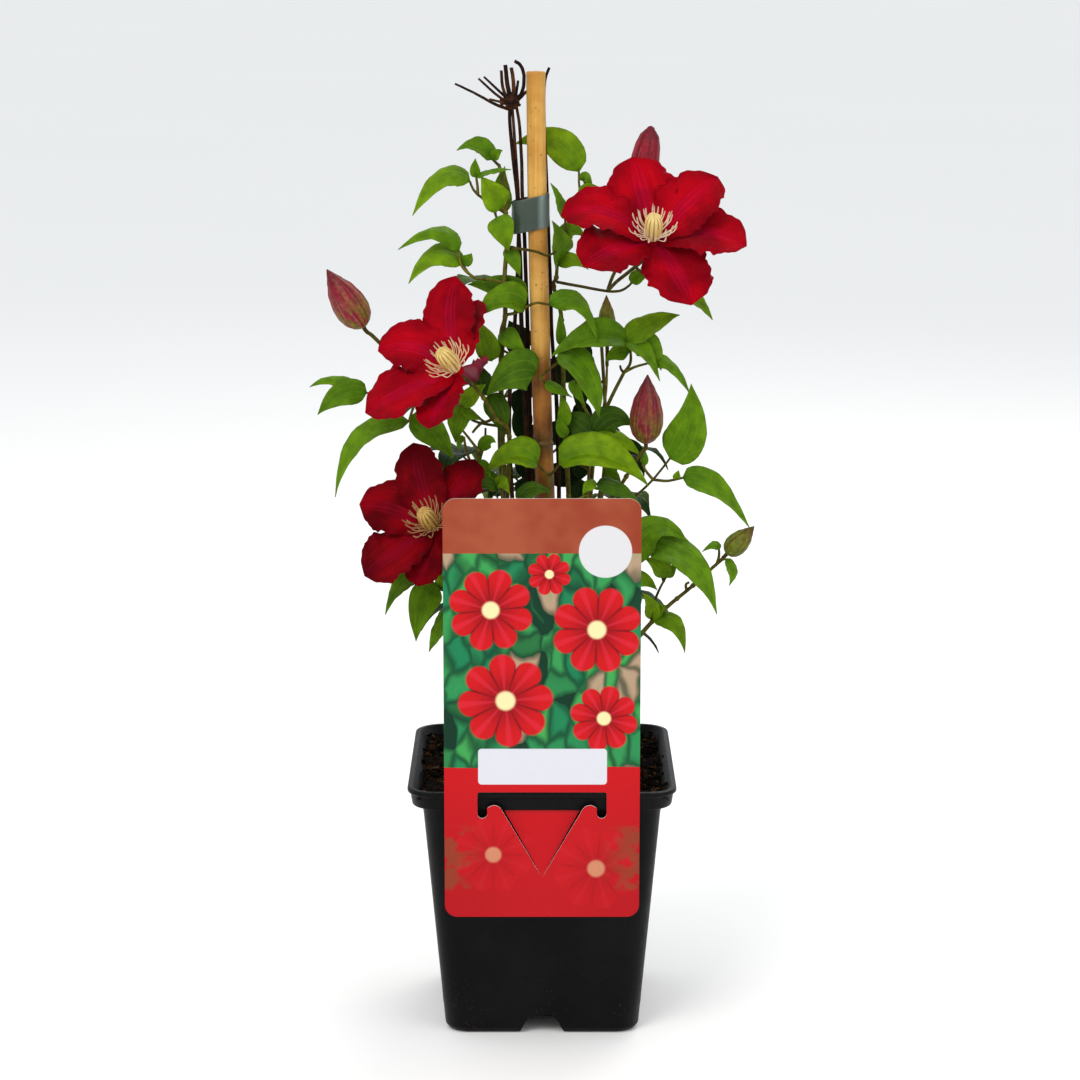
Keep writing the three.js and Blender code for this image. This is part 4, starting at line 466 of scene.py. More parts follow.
class Mould:
    """Collects the points and faces of one piece, with the skin values that its finish reads.

    The skin of a point is its place across, its place along, a number for its own leaf or stem, and
    whether it lies on the underside.
    """

    def __init__(self) -> None:
        """Starts an empty mould."""
        self.points: list[Vector] = []
        self.skins: list[Four] = []
        self.faces: list[tuple[int, ...]] = []
        self.finishes: list[int] = []

    def face(self, corners: Sequence[int], finish: int = 0, flip: bool = False) -> None:
        """Adds one face, looking the other way if asked."""
        self.faces.append(tuple(reversed(corners) if flip else corners))
        self.finishes.append(finish)

    def grid(self, rows: Sequence[Ring], skins: Skins, finish: int = 0, closed: bool = False,
             flip: bool = False) -> list[list[int]]:
        """Adds rows of points joined by four-sided faces.

        Args:
            rows: The rows, all of one length.
            skins: The skin of each point.
            finish: The number of the finish of these faces.
            closed: Whether the last point of a row joins its first.
            flip: Whether the faces look the other way.

        Returns:
            The numbers of the points, row by row.
        """
        numbers = []
        for row, skin in zip(rows, skins):
            start = len(self.points)
            self.points.extend(row)
            self.skins.extend(skin)
            numbers.append(list(range(start, start + len(row))))
        for low, high in zip(numbers, numbers[1:]):
            for i in range(len(low) if closed else len(low) - 1):
                j = (i + 1) % len(low)
                self.face((low[i], low[j], high[j], high[i]), finish, flip)
        return numbers

    def rings(self, rows: Sequence[Ring], skins: Skins | None = None, finish: int = 0, foot: bool = True,
              top: bool = True) -> None:
        """Adds closed rings, one on the other.

        Args:
            rows: The rings, all of one length.
            skins: The skin of each point, or none for places round and along the piece.
            finish: The number of the finish.
            foot: Whether a face closes the first ring.
            top: Whether a face closes the last ring.
        """
        skins = skins or [[(i / len(row), k / len(rows), 0.5, 0.0) for i in range(len(row))]
                          for k, row in enumerate(rows)]
        numbers = self.grid(rows, skins, finish, closed=True)
        if foot:
            self.face(numbers[0], finish, flip=True)
        if top:
            self.face(numbers[-1], finish)

    def tube(self, path: Sequence[Vector], radii: Sequence[float], sides: int, finish: int = 0,
             tone: float = 0.5, ripple: Callable[[float, float], float] | None = None) -> None:
        """Adds a closed tube along a line of points.

        Args:
            path: The middle line.
            radii: The radius at each point of the line, in metres.
            sides: The number of points round it.
            finish: The number of the finish.
            tone: The number for its own colour.
            ripple: Scales the radius from the place along and the angle.
        """
        rows, skins = [], []
        across = None
        for i, (point, radius) in enumerate(zip(path, radii)):
            along = (path[min(i + 1, len(path) - 1)] - path[max(i - 1, 0)]).normalized()
            if across is None:
                across = Vector((0, 0, 1)) if abs(along.z) < 0.9 else Vector((1, 0, 0))
            across = (across - along * across.dot(along)).normalized()
            up = along.cross(across)
            share = i / (len(path) - 1)
            rows.append([point + (across * math.cos(angle) + up * math.sin(angle))
                         * (radius * (ripple(share, angle) if ripple else 1.0)) for angle in angles(sides)])
            skins.append([(side / sides, share, tone, 0.0) for side in range(sides)])
        self.rings(rows, skins, finish)

    def sheet(self, upper: Sequence[Ring], lower: Sequence[Ring], skins: Skins, finish: int = 0) -> None:
        """Adds a thin closed sheet between two matching sets of rows.

        Args:
            upper: Rows of the upper side.
            lower: Rows of the underside.
            skins: The skin of each point of the upper side.
            finish: The number of the finish.
        """
        top = self.grid(upper, skins, finish)
        under_skins = [[(*skin[:3], 1.0) for skin in line] for line in skins]
        under = self.grid(lower, under_skins, finish, flip=True)
        edge = [*zip(top[0], under[0])]
        edge += [(line[-1], low[-1]) for line, low in zip(top[1:], under[1:])]
        edge += [*zip(reversed(top[-1][:-1]), reversed(under[-1][:-1]))]
        edge += [(line[0], low[0]) for line, low in zip(reversed(top[1:-1]), reversed(under[1:-1]))]
        for (a, b), (c, d) in zip(edge, edge[1:] + edge[:1]):
            self.face((a, b, d, c), finish)

    def mesh(self, name: str, smooth: bool = True) -> bpy.types.Mesh:
        """Returns a bare mesh of the points and faces."""
        mesh = bpy.data.meshes.new(name)
        mesh.from_pydata(self.points, [], self.faces)
        mesh.polygons.foreach_set("use_smooth", [smooth] * len(self.faces))
        return mesh

    def piece(self, name: str, finishes: Sequence[Material], slot: str,
              replaces: Sequence[str] = (), smooth: bool = True) -> Thing:
        """Makes the piece, sets it on the body and hides the solids that it stands for.

        Args:
            name: The name of the piece.
            finishes: Its materials, in the order of their numbers.
            slot: The record's material slot; not used.
            replaces: The solids that it stands for.
            smooth: Whether its faces are shaded smooth.

        Returns:
            The new object.
        """
        mesh = self.mesh(name, smooth)
        skin = mesh.attributes.new(SKIN, "FLOAT_COLOR", "POINT")
        skin.data.foreach_set("color", [value for values in self.skins for value in values])
        mesh.polygons.foreach_set("material_index", self.finishes)
        for material in finishes:
            mesh.materials.append(material)
        mesh.validate()
        mesh.update()
        thing = add_object(name, mesh)
        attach(thing, BODY)
        if replaces:
            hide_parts(*replaces)
        LOG.info("made %s with %d faces", name, len(self.faces))
        return thing


def add_object(name: str, data: bpy.types.ID) -> Thing:
    """Makes an object of some data and adds it to the scene."""
    thing = bpy.data.objects.new(name, data)
    bpy.context.scene.collection.objects.link(thing)
    return thing


def bake_modifiers(thing: Thing) -> None:
    """Turns an object's modifiers into mesh."""
    mesh = bpy.data.meshes.new_from_object(thing.evaluated_get(bpy.context.evaluated_depsgraph_get()))
    old = thing.data
    thing.modifiers.clear()
    thing.data = mesh
    bpy.data.meshes.remove(old)


def angles(count: int) -> list[float]:
    """Returns the angles of some even places round a circle."""
    return [math.tau * i / count for i in range(count)]


def smooth_step(before: Any, start: Any, end: Any, after: Any, t: float) -> Any:
    """Returns the place at t between a start and an end on a smooth line through four places."""
    return 0.5 * (2 * start + (end - before) * t + (2 * before - 5 * start + 4 * end - after) * t * t
                  + (3 * start - before - 3 * end + after) * t ** 3)


def curve_through(points: Sequence[Vector], steps: int) -> list[Vector]:
    """Runs a smooth line through some points.

    Args:
        points: The points to pass.
        steps: The number of short lengths between each two of them.

    Returns:
        The points of the smooth line, the given ones among them.
    """
    line = []
    for i in range(len(points) - 1):
        before, after = points[max(i - 1, 0)], points[min(i + 2, len(points) - 1)]
        line += [smooth_step(before, points[i], points[i + 1], after, step / steps) for step in range(steps)]
    return [*line, points[-1].copy()]


def tapered(count: int, thick: float, thin: float) -> list[float]:
    """Returns radii in metres that fall evenly from thick to thin millimetres."""
    return [(thick + (thin - thick) * i / max(count - 1, 1)) * MM for i in range(count)]


@dataclass(frozen=True)
class BladeForm:
    """The shape that all blades of one kind share, in millimetres and shares of their width."""

    shoulder: float
    taper: float
    rows: int
    columns: int
    middle: float
    ribs: Row
    groove: float
    pillow: float
    crisp: float
    neck: float
    scallop: float
    point: float
    edge: float = 0.3
    wave: float = 0.05

    def half_width(self, t: float) -> float:
        """Returns the half width at t along the rib, as a share of the greatest."""
        peak = self.shoulder / (self.shoulder + self.taper)
        blunt = (t / peak) ** self.shoulder * ((1 - t) / (1 - peak)) ** self.taper
        return blunt * (1 - self.point * math.exp(-((1 - t) / 0.05) ** 2))

    def relief(self, u: float) -> float:
        """Returns the height of the upper side at u across, in millimetres."""
        sunk = sum(math.exp(-((u - rib) / 0.055) ** 2) for rib in self.ribs)
        nearest = min(abs(u - rib) for rib in self.ribs)
        return -self.groove * sunk + self.pillow * math.sin(min(nearest * 4.5, math.pi / 2))

LEAF_FORM = BladeForm(shoulder=0.5, taper=1.1, rows=16, columns=14, middle=0.6, ribs=(-0.44, 0.0, 0.44),
                      groove=0.22, pillow=0.25, crisp=0.3, neck=0.5, scallop=0.02, point=0.0)
TEPAL_FORM = BladeForm(shoulder=0.6, taper=0.52, rows=48, columns=26, middle=0.7, ribs=(-0.17, 0.0, 0.17),
                       groove=0.3, pillow=0.14, crisp=1.3, neck=2.6, scallop=0.075, point=0.55)


@dataclass
class Blade:
    """A leaflet or tepal on a curved rib: places in metres, width in millimetres and fold in degrees."""

    base: Vector
    mid: Vector
    tip: Vector
    width: float
    face: Vector
    fold: float
    form: BladeForm

    def rib(self, t: float) -> Vector:
        """Returns the place at t along the rib."""
        return self.base * ((1 - t) * (1 - 2 * t)) + self.mid * (4 * t * (1 - t)) + self.tip * (t * (2 * t - 1))

    def along(self, t: float) -> Vector:
        """Returns the way that the rib runs at t."""
        return (self.base * (4 * t - 3) + self.mid * (4 - 8 * t) + self.tip * (4 * t - 1)).normalized()

    def ragged(self, t: float, phase: float) -> float:
        """Returns how far the edge stands out at t, from about -1 to 1."""
        return (0.6 * math.sin(19 * t + phase) + 0.3 * math.sin(43 * t + 2 * phase)
                + 0.35 * math.sin(71 * t + 3 * phase)) * math.sin(math.pi * t) ** 0.3

    def add_to(self, mould: Mould, finish: int, tone: float) -> None:
        """Adds the blade to a mould.

        Args:
            mould: The mould of its piece.
            finish: The number of its finish.
            tone: The number for its own colour.
        """
        form, rise = self.form, math.radians(self.fold)
        phase = (self.tip.x + self.tip.z) / MM
        small = min(self.width / 12.0, 1.0)
        upper, lower, skins = [], [], []
        for row in range(form.rows + 1):
            t = row / form.rows
            run, centre = self.along(t), self.rib(t)
            normal = (self.face - run * self.face.dot(run)).normalized()
            side = run.cross(normal)
            half = max(self.width / 2 * form.half_width(t), (1 - t) * form.neck, 0.12)
            edges = [1 + form.scallop * self.ragged(t, start) for start in (phase, phase + 40)]
            high, low, skin = [], [], []
            for column in range(form.columns + 1):
                u = 2 * column / form.columns - 1
                wave = form.wave * self.width * math.sin(9 * t + phase + 2 * u) * u * u * math.sin(math.pi * t)
                ripple = form.crisp * math.sin(31 * t + 3 * phase + 4 * u) * u ** 4 * math.sin(math.pi * t)
                veins = form.relief(u) * min(half / 3, 1)
                lift = abs(u) * half * math.sin(rise) + wave + small * (ripple + veins)
                reach = u * half * math.cos(rise) * (1 + (edges[u > 0] - 1) * u * u)
                thick = form.edge + (form.middle - form.edge) * (1 - u * u)
                point = centre + (side * reach + normal * lift) * MM
                high.append(point + normal * (thick / 2 * MM))
                low.append(point - normal * (thick / 2 * MM))
                skin.append((0.5 + 0.5 * u, t, tone, 0.0))
            upper.append(high)
            lower.append(low)
            skins.append(skin)
        mould.sheet(upper, lower, skins, finish)


class Bench:
    """Adds and wires the nodes of one node tree."""

    def __init__(self, tree: bpy.types.NodeTree) -> None:
        """Starts with the tree to work on."""
        self.tree = tree

    def node(self, kind: str, settings: dict[str, object] | None = None, **sockets: object) -> bpy.types.Node:
        """Adds a node.

        Args:
            kind: The type of the node, without its common start.
            settings: Its properties.
            **sockets: A value, a written colour or an output for each named input, with _ for a space.

        Returns:
            The new node.
        """
        node = self.tree.nodes.new("ShaderNode" + kind)
        for key, value in (settings or {}).items():
            setattr(node, key, value)
        for key, value in sockets.items():
            self.feed(node.inputs[key.replace("_", " ")], value)
        return node

    def feed(self, socket: Socket, value: object) -> None:
        """Sets an input, or wires an output to it."""
        if isinstance(value, bpy.types.NodeSocket):
            self.tree.links.new(value, socket)
        else:
            socket.default_value = paint(value) if isinstance(value, str) else value

    def math(self, operation: str, *values: object) -> Socket:
        """Adds a sum on one or two numbers and returns its result."""
        node = self.node("Math", {"operation": operation})
        for socket, value in zip(node.inputs, values):
            self.feed(socket, value)
        return node.outputs[0]

    def times(self, first: object, *others: object) -> Socket:
        """Returns the product of some numbers."""
        for other in others:
            first = self.math("MULTIPLY", first, other)
        return first

    def plus(self, first: object, second: object) -> Socket:
        """Returns the sum of two numbers."""
        return self.math("ADD", first, second)

    def minus(self, first: object, second: object) -> Socket:
        """Returns the first number less the second."""
        return self.math("SUBTRACT", first, second)

    def apart(self, first: object, second: object) -> Socket:
        """Returns how far two numbers are apart."""
        return self.math("ABSOLUTE", self.minus(first, second))

    def off_whole(self, value: Socket) -> Socket:
        """Returns how far a number is from the nearest whole one."""
        return self.apart(value, self.math("ROUND", value))

    def length(self, first: Socket, second: Socket) -> Socket:
        """Returns the length of the slope over two legs, neither of them negative."""
        return self.math("SQRT", self.plus(*[self.math("POWER", leg, 2.0) for leg in (first, second)]))

    def mix(self, share: object, first: object, second: object, blend: str = "MIX") -> Socket:
        """Mixes two colours and returns the result."""
        node = self.node("Mix", {"data_type": "RGBA", "blend_type": blend})
        for index, value in ((0, share), (6, first), (7, second)):
            self.feed(node.inputs[index], value)
        return node.outputs[2]

    def noise(self, place: object, scale: float, detail: float = 3.0, rough: float = 0.55) -> Socket:
        """Adds a noise over a place and returns its value."""
        return self.node("TexNoise", None, Vector=place, Scale=scale, Detail=detail, Roughness=rough).outputs["Fac"]

    def between(self, value: object, low: float, high: float) -> Socket:
        """Returns 0 below low and 1 above high, smooth in between."""
        return self.node("MapRange", {"interpolation_type": "SMOOTHSTEP"}, Value=value, From_Min=low,
                         From_Max=high).outputs["Result"]

    def below(self, value: object, low: float, high: float) -> Socket:
        """Returns 1 below low and 0 above high, smooth in between."""
        return self.minus(1.0, self.between(value, low, high))

    def parts(self, vector: Socket) -> bpy.types.NodeOutputs:
        """Returns the X, Y and Z of a vector."""
        return self.node("SeparateXYZ", None, Vector=vector).outputs

    def plane(self, x: object, y: object, z: object = 0.0) -> Socket:
        """Returns a vector made from its parts."""
        return self.node("CombineXYZ", None, X=x, Y=y, Z=z).outputs["Vector"]


class Effect(Enum):
    """The effects that several finishes share."""

    MOTTLE = "mottle"
    LINES = "lines_along"
    GRAIN = "fine_grain"
    SPECKS = "specks"
    ROSETTE = "rosette"


def new_effect(effect: Effect, numbers: str, colours: str = "", result: str = "Mask"
               ) -> tuple[Bench, bpy.types.NodeOutputs, bpy.types.NodeInputs]:
    """Makes an empty shared effect, which reads a place where a number is named Place.

    Args:
        effect: The effect.
        numbers: The labels of its inputs that are numbers, with commas between them.
        colours: The labels of its inputs that are colours, written alike.
        result: The labels of its outputs, written alike.

    Returns:
        A bench for its nodes, what goes into them and what comes out.
    """
    tree = bpy.data.node_groups.new(effect.value, "ShaderNodeTree")
    kinds = {"Place": "Vector", "Color": "Color"}
    sockets = [("INPUT", label, kinds.get(label, "Float")) for label in numbers.split(", ")]
    sockets += [("INPUT", label, "Color") for label in colours.split(", ") if label]
    sockets += [("OUTPUT", label, kinds.get(label, "Float")) for label in result.split(", ")]
    for way, label, kind in sockets:
        tree.interface.new_socket(label, in_out=way, socket_type="NodeSocket" + kind)
    return Bench(tree), tree.nodes.new("NodeGroupInput").outputs, tree.nodes.new("NodeGroupOutput").inputs


def make_mottle() -> bpy.types.NodeTree:
    """Returns the effect of a cloudy change between two colours."""
    bench, given, result = new_effect(Effect.MOTTLE, "Place, Scale", "Light, Dark", "Color, Mask")
    coarse = bench.node("TexNoise", None, Vector=given["Place"], Scale=given["Scale"], Detail=5.0)
    mask = bench.between(coarse.outputs["Fac"], 0.34, 0.66)
    bench.feed(result["Color"], bench.mix(mask, given["Dark"], given["Light"]))
    bench.feed(result["Mask"], mask)
    return bench.tree


def make_lines() -> bpy.types.NodeTree:
    """Returns the effect of thin lines at even spaces, one in the middle and one on each side of it."""
    bench, given, result = new_effect(Effect.LINES, "Across, Spacing, Width")
    turn = bench.math("DIVIDE", given["Across"], given["Spacing"])
    share = bench.math("DIVIDE", bench.times(bench.off_whole(turn), given["Spacing"]), given["Width"])
    near = bench.math("LESS_THAN", bench.math("ABSOLUTE", turn), 1.5)
    bench.feed(result["Mask"], bench.times(bench.below(share, 0.25, 1.0), near))
    return bench.tree


def make_grain() -> bpy.types.NodeTree:
    """Returns the effect of a fine grain of cells."""
    bench, given, result = new_effect(Effect.GRAIN, "Place, Scale, Cell Scale", "", "Height")
    fine = bench.node("TexNoise", None, Vector=given["Place"], Scale=given["Scale"], Detail=4.0)
    cells = bench.node("TexVoronoi", {"feature": "DISTANCE_TO_EDGE"}, Vector=given["Place"],
                       Scale=given["Cell Scale"])
    walls = bench.between(cells.outputs["Distance"], 0.0, 0.12)
    bench.feed(result["Height"], bench.plus(bench.times(fine.outputs["Fac"], 0.6), bench.times(walls, 0.4)))
    return bench.tree


def make_specks() -> bpy.types.NodeTree:
    """Returns the effect of scattered specks of uneven size."""
    bench, given, result = new_effect(Effect.SPECKS, "Place, Scale, Amount")
    spots = bench.node("TexVoronoi", None, Vector=given["Place"], Scale=given["Scale"])
    own = bench.node("SeparateColor", None, Color=spots.outputs["Color"]).outputs["Red"]
    limit = bench.times(own, given["Amount"])
    bench.feed(result["Mask"], bench.math("LESS_THAN", spots.outputs["Distance"], limit))
    return bench.tree


def make_rosette() -> bpy.types.NodeTree:
    """Returns the effect of a printed rosette: a plain round flower over a backdrop."""
    bench, given, result = new_effect(Effect.ROSETTE, "X, Z, Centre X, Centre Z, Radius, Petals, Turn", "Backdrop",
                                      "Color")
    across, up = bench.minus(given["X"], given["Centre X"]), bench.minus(given["Z"], given["Centre Z"])
    far = bench.length(bench.math("ABSOLUTE", across), bench.math("ABSOLUTE", up))
    far = bench.math("DIVIDE", far, given["Radius"])
    angle = bench.plus(bench.math("ARCTAN2", up, across), given["Turn"])
    wave = bench.math("ABSOLUTE", bench.math("COSINE", bench.times(angle, bench.times(given["Petals"], 0.5))))
    reach = bench.plus(bench.times(bench.math("SQRT", wave), 0.3), 0.7)
    red = bench.mix(bench.between(far, 0.1, 0.8), "#900610", "#C00E16")
    red = bench.mix(bench.times(bench.between(wave, 0.9, 1.0), 0.3), red, "#E03048")
    red = bench.mix(bench.below(wave, 0.0, 0.3), red, "#7A040C")
    red = bench.mix(bench.below(far, 0.16, 0.24), red, "#EBD9A2")
    inside = bench.below(bench.minus(far, reach), -0.05, 0.02)
    bench.feed(result["Color"], bench.mix(inside, given["Backdrop"], red))
    return bench.tree


class Finish:
    """One material while it is made: its shader, the skin of its piece and the colour laid on so far."""

    effects: dict[Effect, bpy.types.NodeTree] = {}

    def __init__(self, name: str, colour: str = "#FFFFFF", **shader: float) -> None:
        """Starts a material.

        Args:
            name: The name of the finish.
            colour: The colour under all others.
            **shader: Values of the shader's own sockets, with _ for a space.
        """
        self.material = bpy.data.materials.new(name)
        self.material.use_nodes = True
        self.bench = Bench(self.material.node_tree)
        self.shader = self.material.node_tree.nodes["Principled BSDF"]
        self.place = self.bench.node("TexCoord").outputs["Object"]
        self.colour: object = colour
        for key, value in shader.items():
            self.shader.inputs[key.replace("_", " ")].default_value = value

    def skin(self) -> tuple[Socket, Socket, Socket, Socket]:
        """Returns the place across, the place along, the own number and the underside."""
        reader = self.bench.node("Attribute", {"attribute_name": SKIN, "attribute_type": "GEOMETRY"})
        parts = self.bench.node("SeparateColor", None, Color=reader.outputs["Color"])
        return (*[parts.outputs[name] for name in ("Red", "Green", "Blue")], reader.outputs["Alpha"])

    def effect(self, effect: Effect, **sockets: object) -> bpy.types.NodeOutputs:
        """Places a shared effect with its own values and returns what comes out."""
        return self.bench.node("Group", {"node_tree": self.effects[effect]}, **sockets).outputs

    def mottle(self, scale: float, light: str, dark: str) -> tuple[Socket, Socket]:
        """Returns the colour and the mask of a cloudy change between two colours."""
        made = self.effect(Effect.MOTTLE, Place=self.place, Scale=scale, Light=light, Dark=dark)
        return made["Color"], made["Mask"]

    def lines(self, across: Socket, spacing: float, width: float) -> Socket:
        """Returns the mask of lines along a blade."""
        return self.effect(Effect.LINES, Across=across, Spacing=spacing, Width=width)["Mask"]

    def grain(self, scale: float, cells: float) -> Socket:
        """Returns the height of a fine grain."""
        return self.effect(Effect.GRAIN, Place=self.place, Scale=scale, Cell_Scale=cells)["Height"]

    def specks(self, scale: float, amount: float) -> Socket:
        """Returns the mask of scattered specks."""
        return self.effect(Effect.SPECKS, Place=self.place, Scale=scale, Amount=amount)["Mask"]

    def strands(self, across: Socket, along: Socket, count: float, stretch: float, tone: object = 0.0,
                scale: float = 1.0, detail: float = 2.0) -> Socket:
        """Returns a noise drawn out along a piece.

        Args:
            across: The place across or round the piece.
            along: The place along it.
            count: About how many strands lie side by side.
            stretch: How often they change along it.
            tone: The piece's own number.
            scale: The scale of the noise.
            detail: Its detail.

        Returns:
            A value from 0 to 1.
        """
        bench = self.bench
        return bench.noise(bench.plane(bench.times(across, count), bench.times(along, stretch), tone), scale, detail)

    def lay(self, colour: object, share: object = 1.0, strength: float = 1.0, blend: str = "MIX") -> None:
        """Lays a colour over those laid on before.

        Args:
            colour: The colour.
            share: Its mask.
            strength: Its share where the mask is 1.
            blend: How it mixes with what lies below.
        """
        share = share if strength == 1.0 else self.bench.times(share, strength)
        self.colour = self.bench.mix(share, self.colour, colour, blend)

    def rough(self, value: Socket, span: float, least: float) -> None:
        """Makes the roughness rise by a span over the least one, with a value."""
        self.bench.feed(self.shader.inputs["Roughness"], self.bench.plus(self.bench.times(value, span), least))

    def bump(self, height: Socket, depth: float, strength: float) -> None:
        """Raises the surface by a height, at most depth in metres."""
        node = self.bench.node("Bump", None, Height=height, Distance=depth, Strength=strength)
        self.bench.feed(self.shader.inputs["Normal"], node.outputs["Normal"])

    def done(self) -> Material:
        """Puts the colour on and returns the material."""
        self.bench.feed(self.shader.inputs["Base Color"], self.colour)
        return self.material


@dataclass(frozen=True)
class LeafFinish:
    """Leaf green with pale veins, a greyer underside, a net of small veins and painted shade behind the cane."""

    dark: str = "#345206"
    mid: str = "#5A8004"
    light: str = "#789602"
    vein: str = "#98AC30"
    underside: str = "#78904A"
    rim: str = "#5A5A22"
    shaded: str = "#566C36"
    painted_fold_shade: str = "#A8C8A0"

    def make(self) -> Material:
        """Returns the material."""
        made = Finish("leaf_green", self.dark, Specular_IOR_Level=0.09)
        bench, (across, along, tone, under) = made.bench, made.skin()
        centred = bench.minus(across, 0.5)
        aside = bench.math("ABSOLUTE", centred)
        made.lay(self.mid, bench.between(tone, 0.05, 0.55))
        made.lay(self.light, bench.between(tone, 0.55, 0.98))
        made.lay(made.mottle(170.0, "#FFFFFF", "#A9B49B")[0], 0.55, blend="MULTIPLY")
        # Painted shade: darker towards the leaflet's base and along its rib, where the blade folds.
        root, inward = bench.below(along, 0.0, 0.55), bench.below(aside, 0.0, 0.4)
        made.lay(self.painted_fold_shade, bench.plus(bench.times(root, 0.6), bench.times(inward, 0.4)), 0.75, "MULTIPLY")
        slant = bench.minus(along, bench.times(aside, 0.75))
        side_veins = bench.below(bench.off_whole(bench.times(slant, 11.0)), 0.03, 0.14)
        net = bench.math("MAXIMUM", made.lines(centred, 0.22, 0.022), bench.times(side_veins, 0.25))
        pale = bench.mix(bench.times(net, 0.5), bench.mix(0.45, made.colour, self.underside), self.vein)
        made.lay(self.vein, net, 0.14)
        made.lay(self.rim, bench.between(aside, 0.455, 0.5), 0.2)
        made.lay(pale, under)
        # Painted shade: the leaves behind the cane are darkened.
        made.lay(self.shaded, self.painted_shade_behind_cane(bench, made.place), blend="MULTIPLY")
        made.rough(bench.noise(made.place, 300.0), 0.25, 0.36)
        made.bump(bench.minus(made.grain(1600.0, 620.0), bench.times(net, 0.8)), 0.0004, 0.5)
        return made.done()

    def painted_shade_behind_cane(self, bench: Bench, place: Socket) -> Socket:
        """Returns the mask of painted shade on the leaves behind the cane, which fades towards the open air."""
        parts = bench.parts(place)
        open_air = bench.times(bench.between(parts["Y"], 0.035, 0.075), 0.65)
        behind = bench.minus(bench.between(parts["Y"], 0.004, 0.018), open_air)
        return bench.times(behind, bench.below(parts["Z"], 0.4, 0.44))


@dataclass(frozen=True)
class TepalFinish:
    """Velvety crimson with magenta ribs, fine lines along it and a paler underside."""

    name: str
    main: str
    deep: str
    rib: str
    underside: str

    def make(self) -> Material:
        """Returns the material."""
        made = Finish(self.name, Specular_IOR_Level=0.03)
        bench, (across, along, tone, under) = made.bench, made.skin()
        centred = bench.minus(across, 0.5)
        aside = bench.math("ABSOLUTE", centred)
        made.colour = made.mottle(45.0, self.main, self.deep)[0]
        made.lay(self.deep, bench.between(aside, 0.2, 0.5), 0.55)
        bar = bench.below(aside, 0.04, 0.17)
        made.lay(self.rib, bench.times(bar, bench.below(along, 0.55, 0.95)), 0.2)
        made.lay(self.rib, made.lines(centred, 0.085, 0.016), 0.28)
        streak = bench.between(made.strands(centred, along, 46.0, 2.2, bench.times(tone, 30.0)), 0.38, 0.66)
        made.lay(self.deep, streak, 0.28)
        back = bench.mix(bench.times(streak, 0.5), self.underside, self.main)
        made.lay(bench.mix(bench.times(bar, 0.5), back, "#B07078"), under)
        made.rough(streak, 0.15, 0.5)
        grain = made.grain(2400.0, 1500.0)
        made.bump(bench.plus(bench.times(streak, 0.7), bench.times(grain, 0.3)), 0.0004, 0.6)
        return made.done()


@dataclass(frozen=True)
class StemFinish:
    """Green to brown stem skin with fine ridges along it."""

    name: str
    light: str
    dark: str
    roughness: float = 0.55
    scale: float = 260.0

    def make(self) -> Material:
        """Returns the material."""
        made = Finish(self.name, Specular_IOR_Level=0.1)
        bench, (across, along, tone, _) = made.bench, made.skin()
        made.colour, mask = made.mottle(self.scale, self.light, self.dark)
        made.lay(bench.mix(bench.between(tone, 0.0, 1.0), "#A8A08F", "#FFFFFF"), blend="MULTIPLY")
        made.rough(mask, 0.2, self.roughness)
        made.bump(made.strands(across, along, 9.0, 6.0, bench.times(tone, 9.0), 1.6, 3.0), 0.0003, 0.7)
        return made.done()


@dataclass(frozen=True)
class StamenFinish:
    """Threads, paler at the root and browner at the tips, round a grooved bundle of styles."""

    name: str
    root: str
    tip: str
    middle: str
    column: str
    groove: str
    grooves: float = 11.0

    def make(self) -> Material:
        """Returns the material."""
        made = Finish(self.name, self.root, Specular_IOR_Level=0.35)
        bench, (across, along, tone, _) = made.bench, made.skin()
        made.lay(self.middle, bench.between(along, 0.0, 0.45))
        made.lay(self.tip, bench.times(bench.between(along, 0.72, 1.0), bench.plus(tone, 0.2)))
        groove = bench.between(bench.off_whole(bench.times(across, self.grooves)), 0.28, 0.5)
        made.lay(bench.mix(groove, self.column, self.groove), bench.math("GREATER_THAN", tone, 0.8))
        made.rough(bench.noise(made.place, 900.0), 0.3, 0.4)
        made.bump(bench.noise(made.place, 2600.0), 0.0002, 0.5)
        return made.done()


@dataclass(frozen=True)
class BudFinish:
    """Downy bud skin in long bands, greener low down, with a dark tip and dark seams."""

    name: str
    main: str
    stripe: str
    tip: str
    foot: str
    line: str
    seams: float = 4.0

    def make(self) -> Material:
        """Returns the material."""
        made = Finish(self.name, self.main, Specular_IOR_Level=0.14)
        bench, (across, along, _, _) = made.bench, made.skin()
        made.lay(self.stripe, bench.between(made.strands(across, along, 12.0, 0.7), 0.44, 0.6))
        fine = bench.between(made.strands(across, along, 34.0, 1.6), 0.54, 0.7)
        made.lay(self.line, fine, 0.5)
        green = bench.between(made.strands(across, along, 9.0, 2.5), 0.4, 0.56)
        made.lay(self.foot, bench.times(bench.below(along, 0.1, 0.62), green), 0.9)
        made.lay(self.tip, bench.between(along, 0.55, 1.0), 0.7)
        seam = bench.off_whole(bench.times(across, self.seams))
        made.lay(self.tip, bench.between(seam, 0.44, 0.5), 0.7)
        mottle, mask = made.mottle(520.0, "#FFFFFF", "#B7B0A8")
        made.lay(mottle, 0.7, blend="MULTIPLY")
        made.rough(mask, 0.2, 0.36)
        down = bench.noise(made.place, 2600.0)
        made.bump(bench.plus(bench.times(fine, 0.6), bench.times(down, 0.4)), 0.0004, 0.6)
        return made.done()


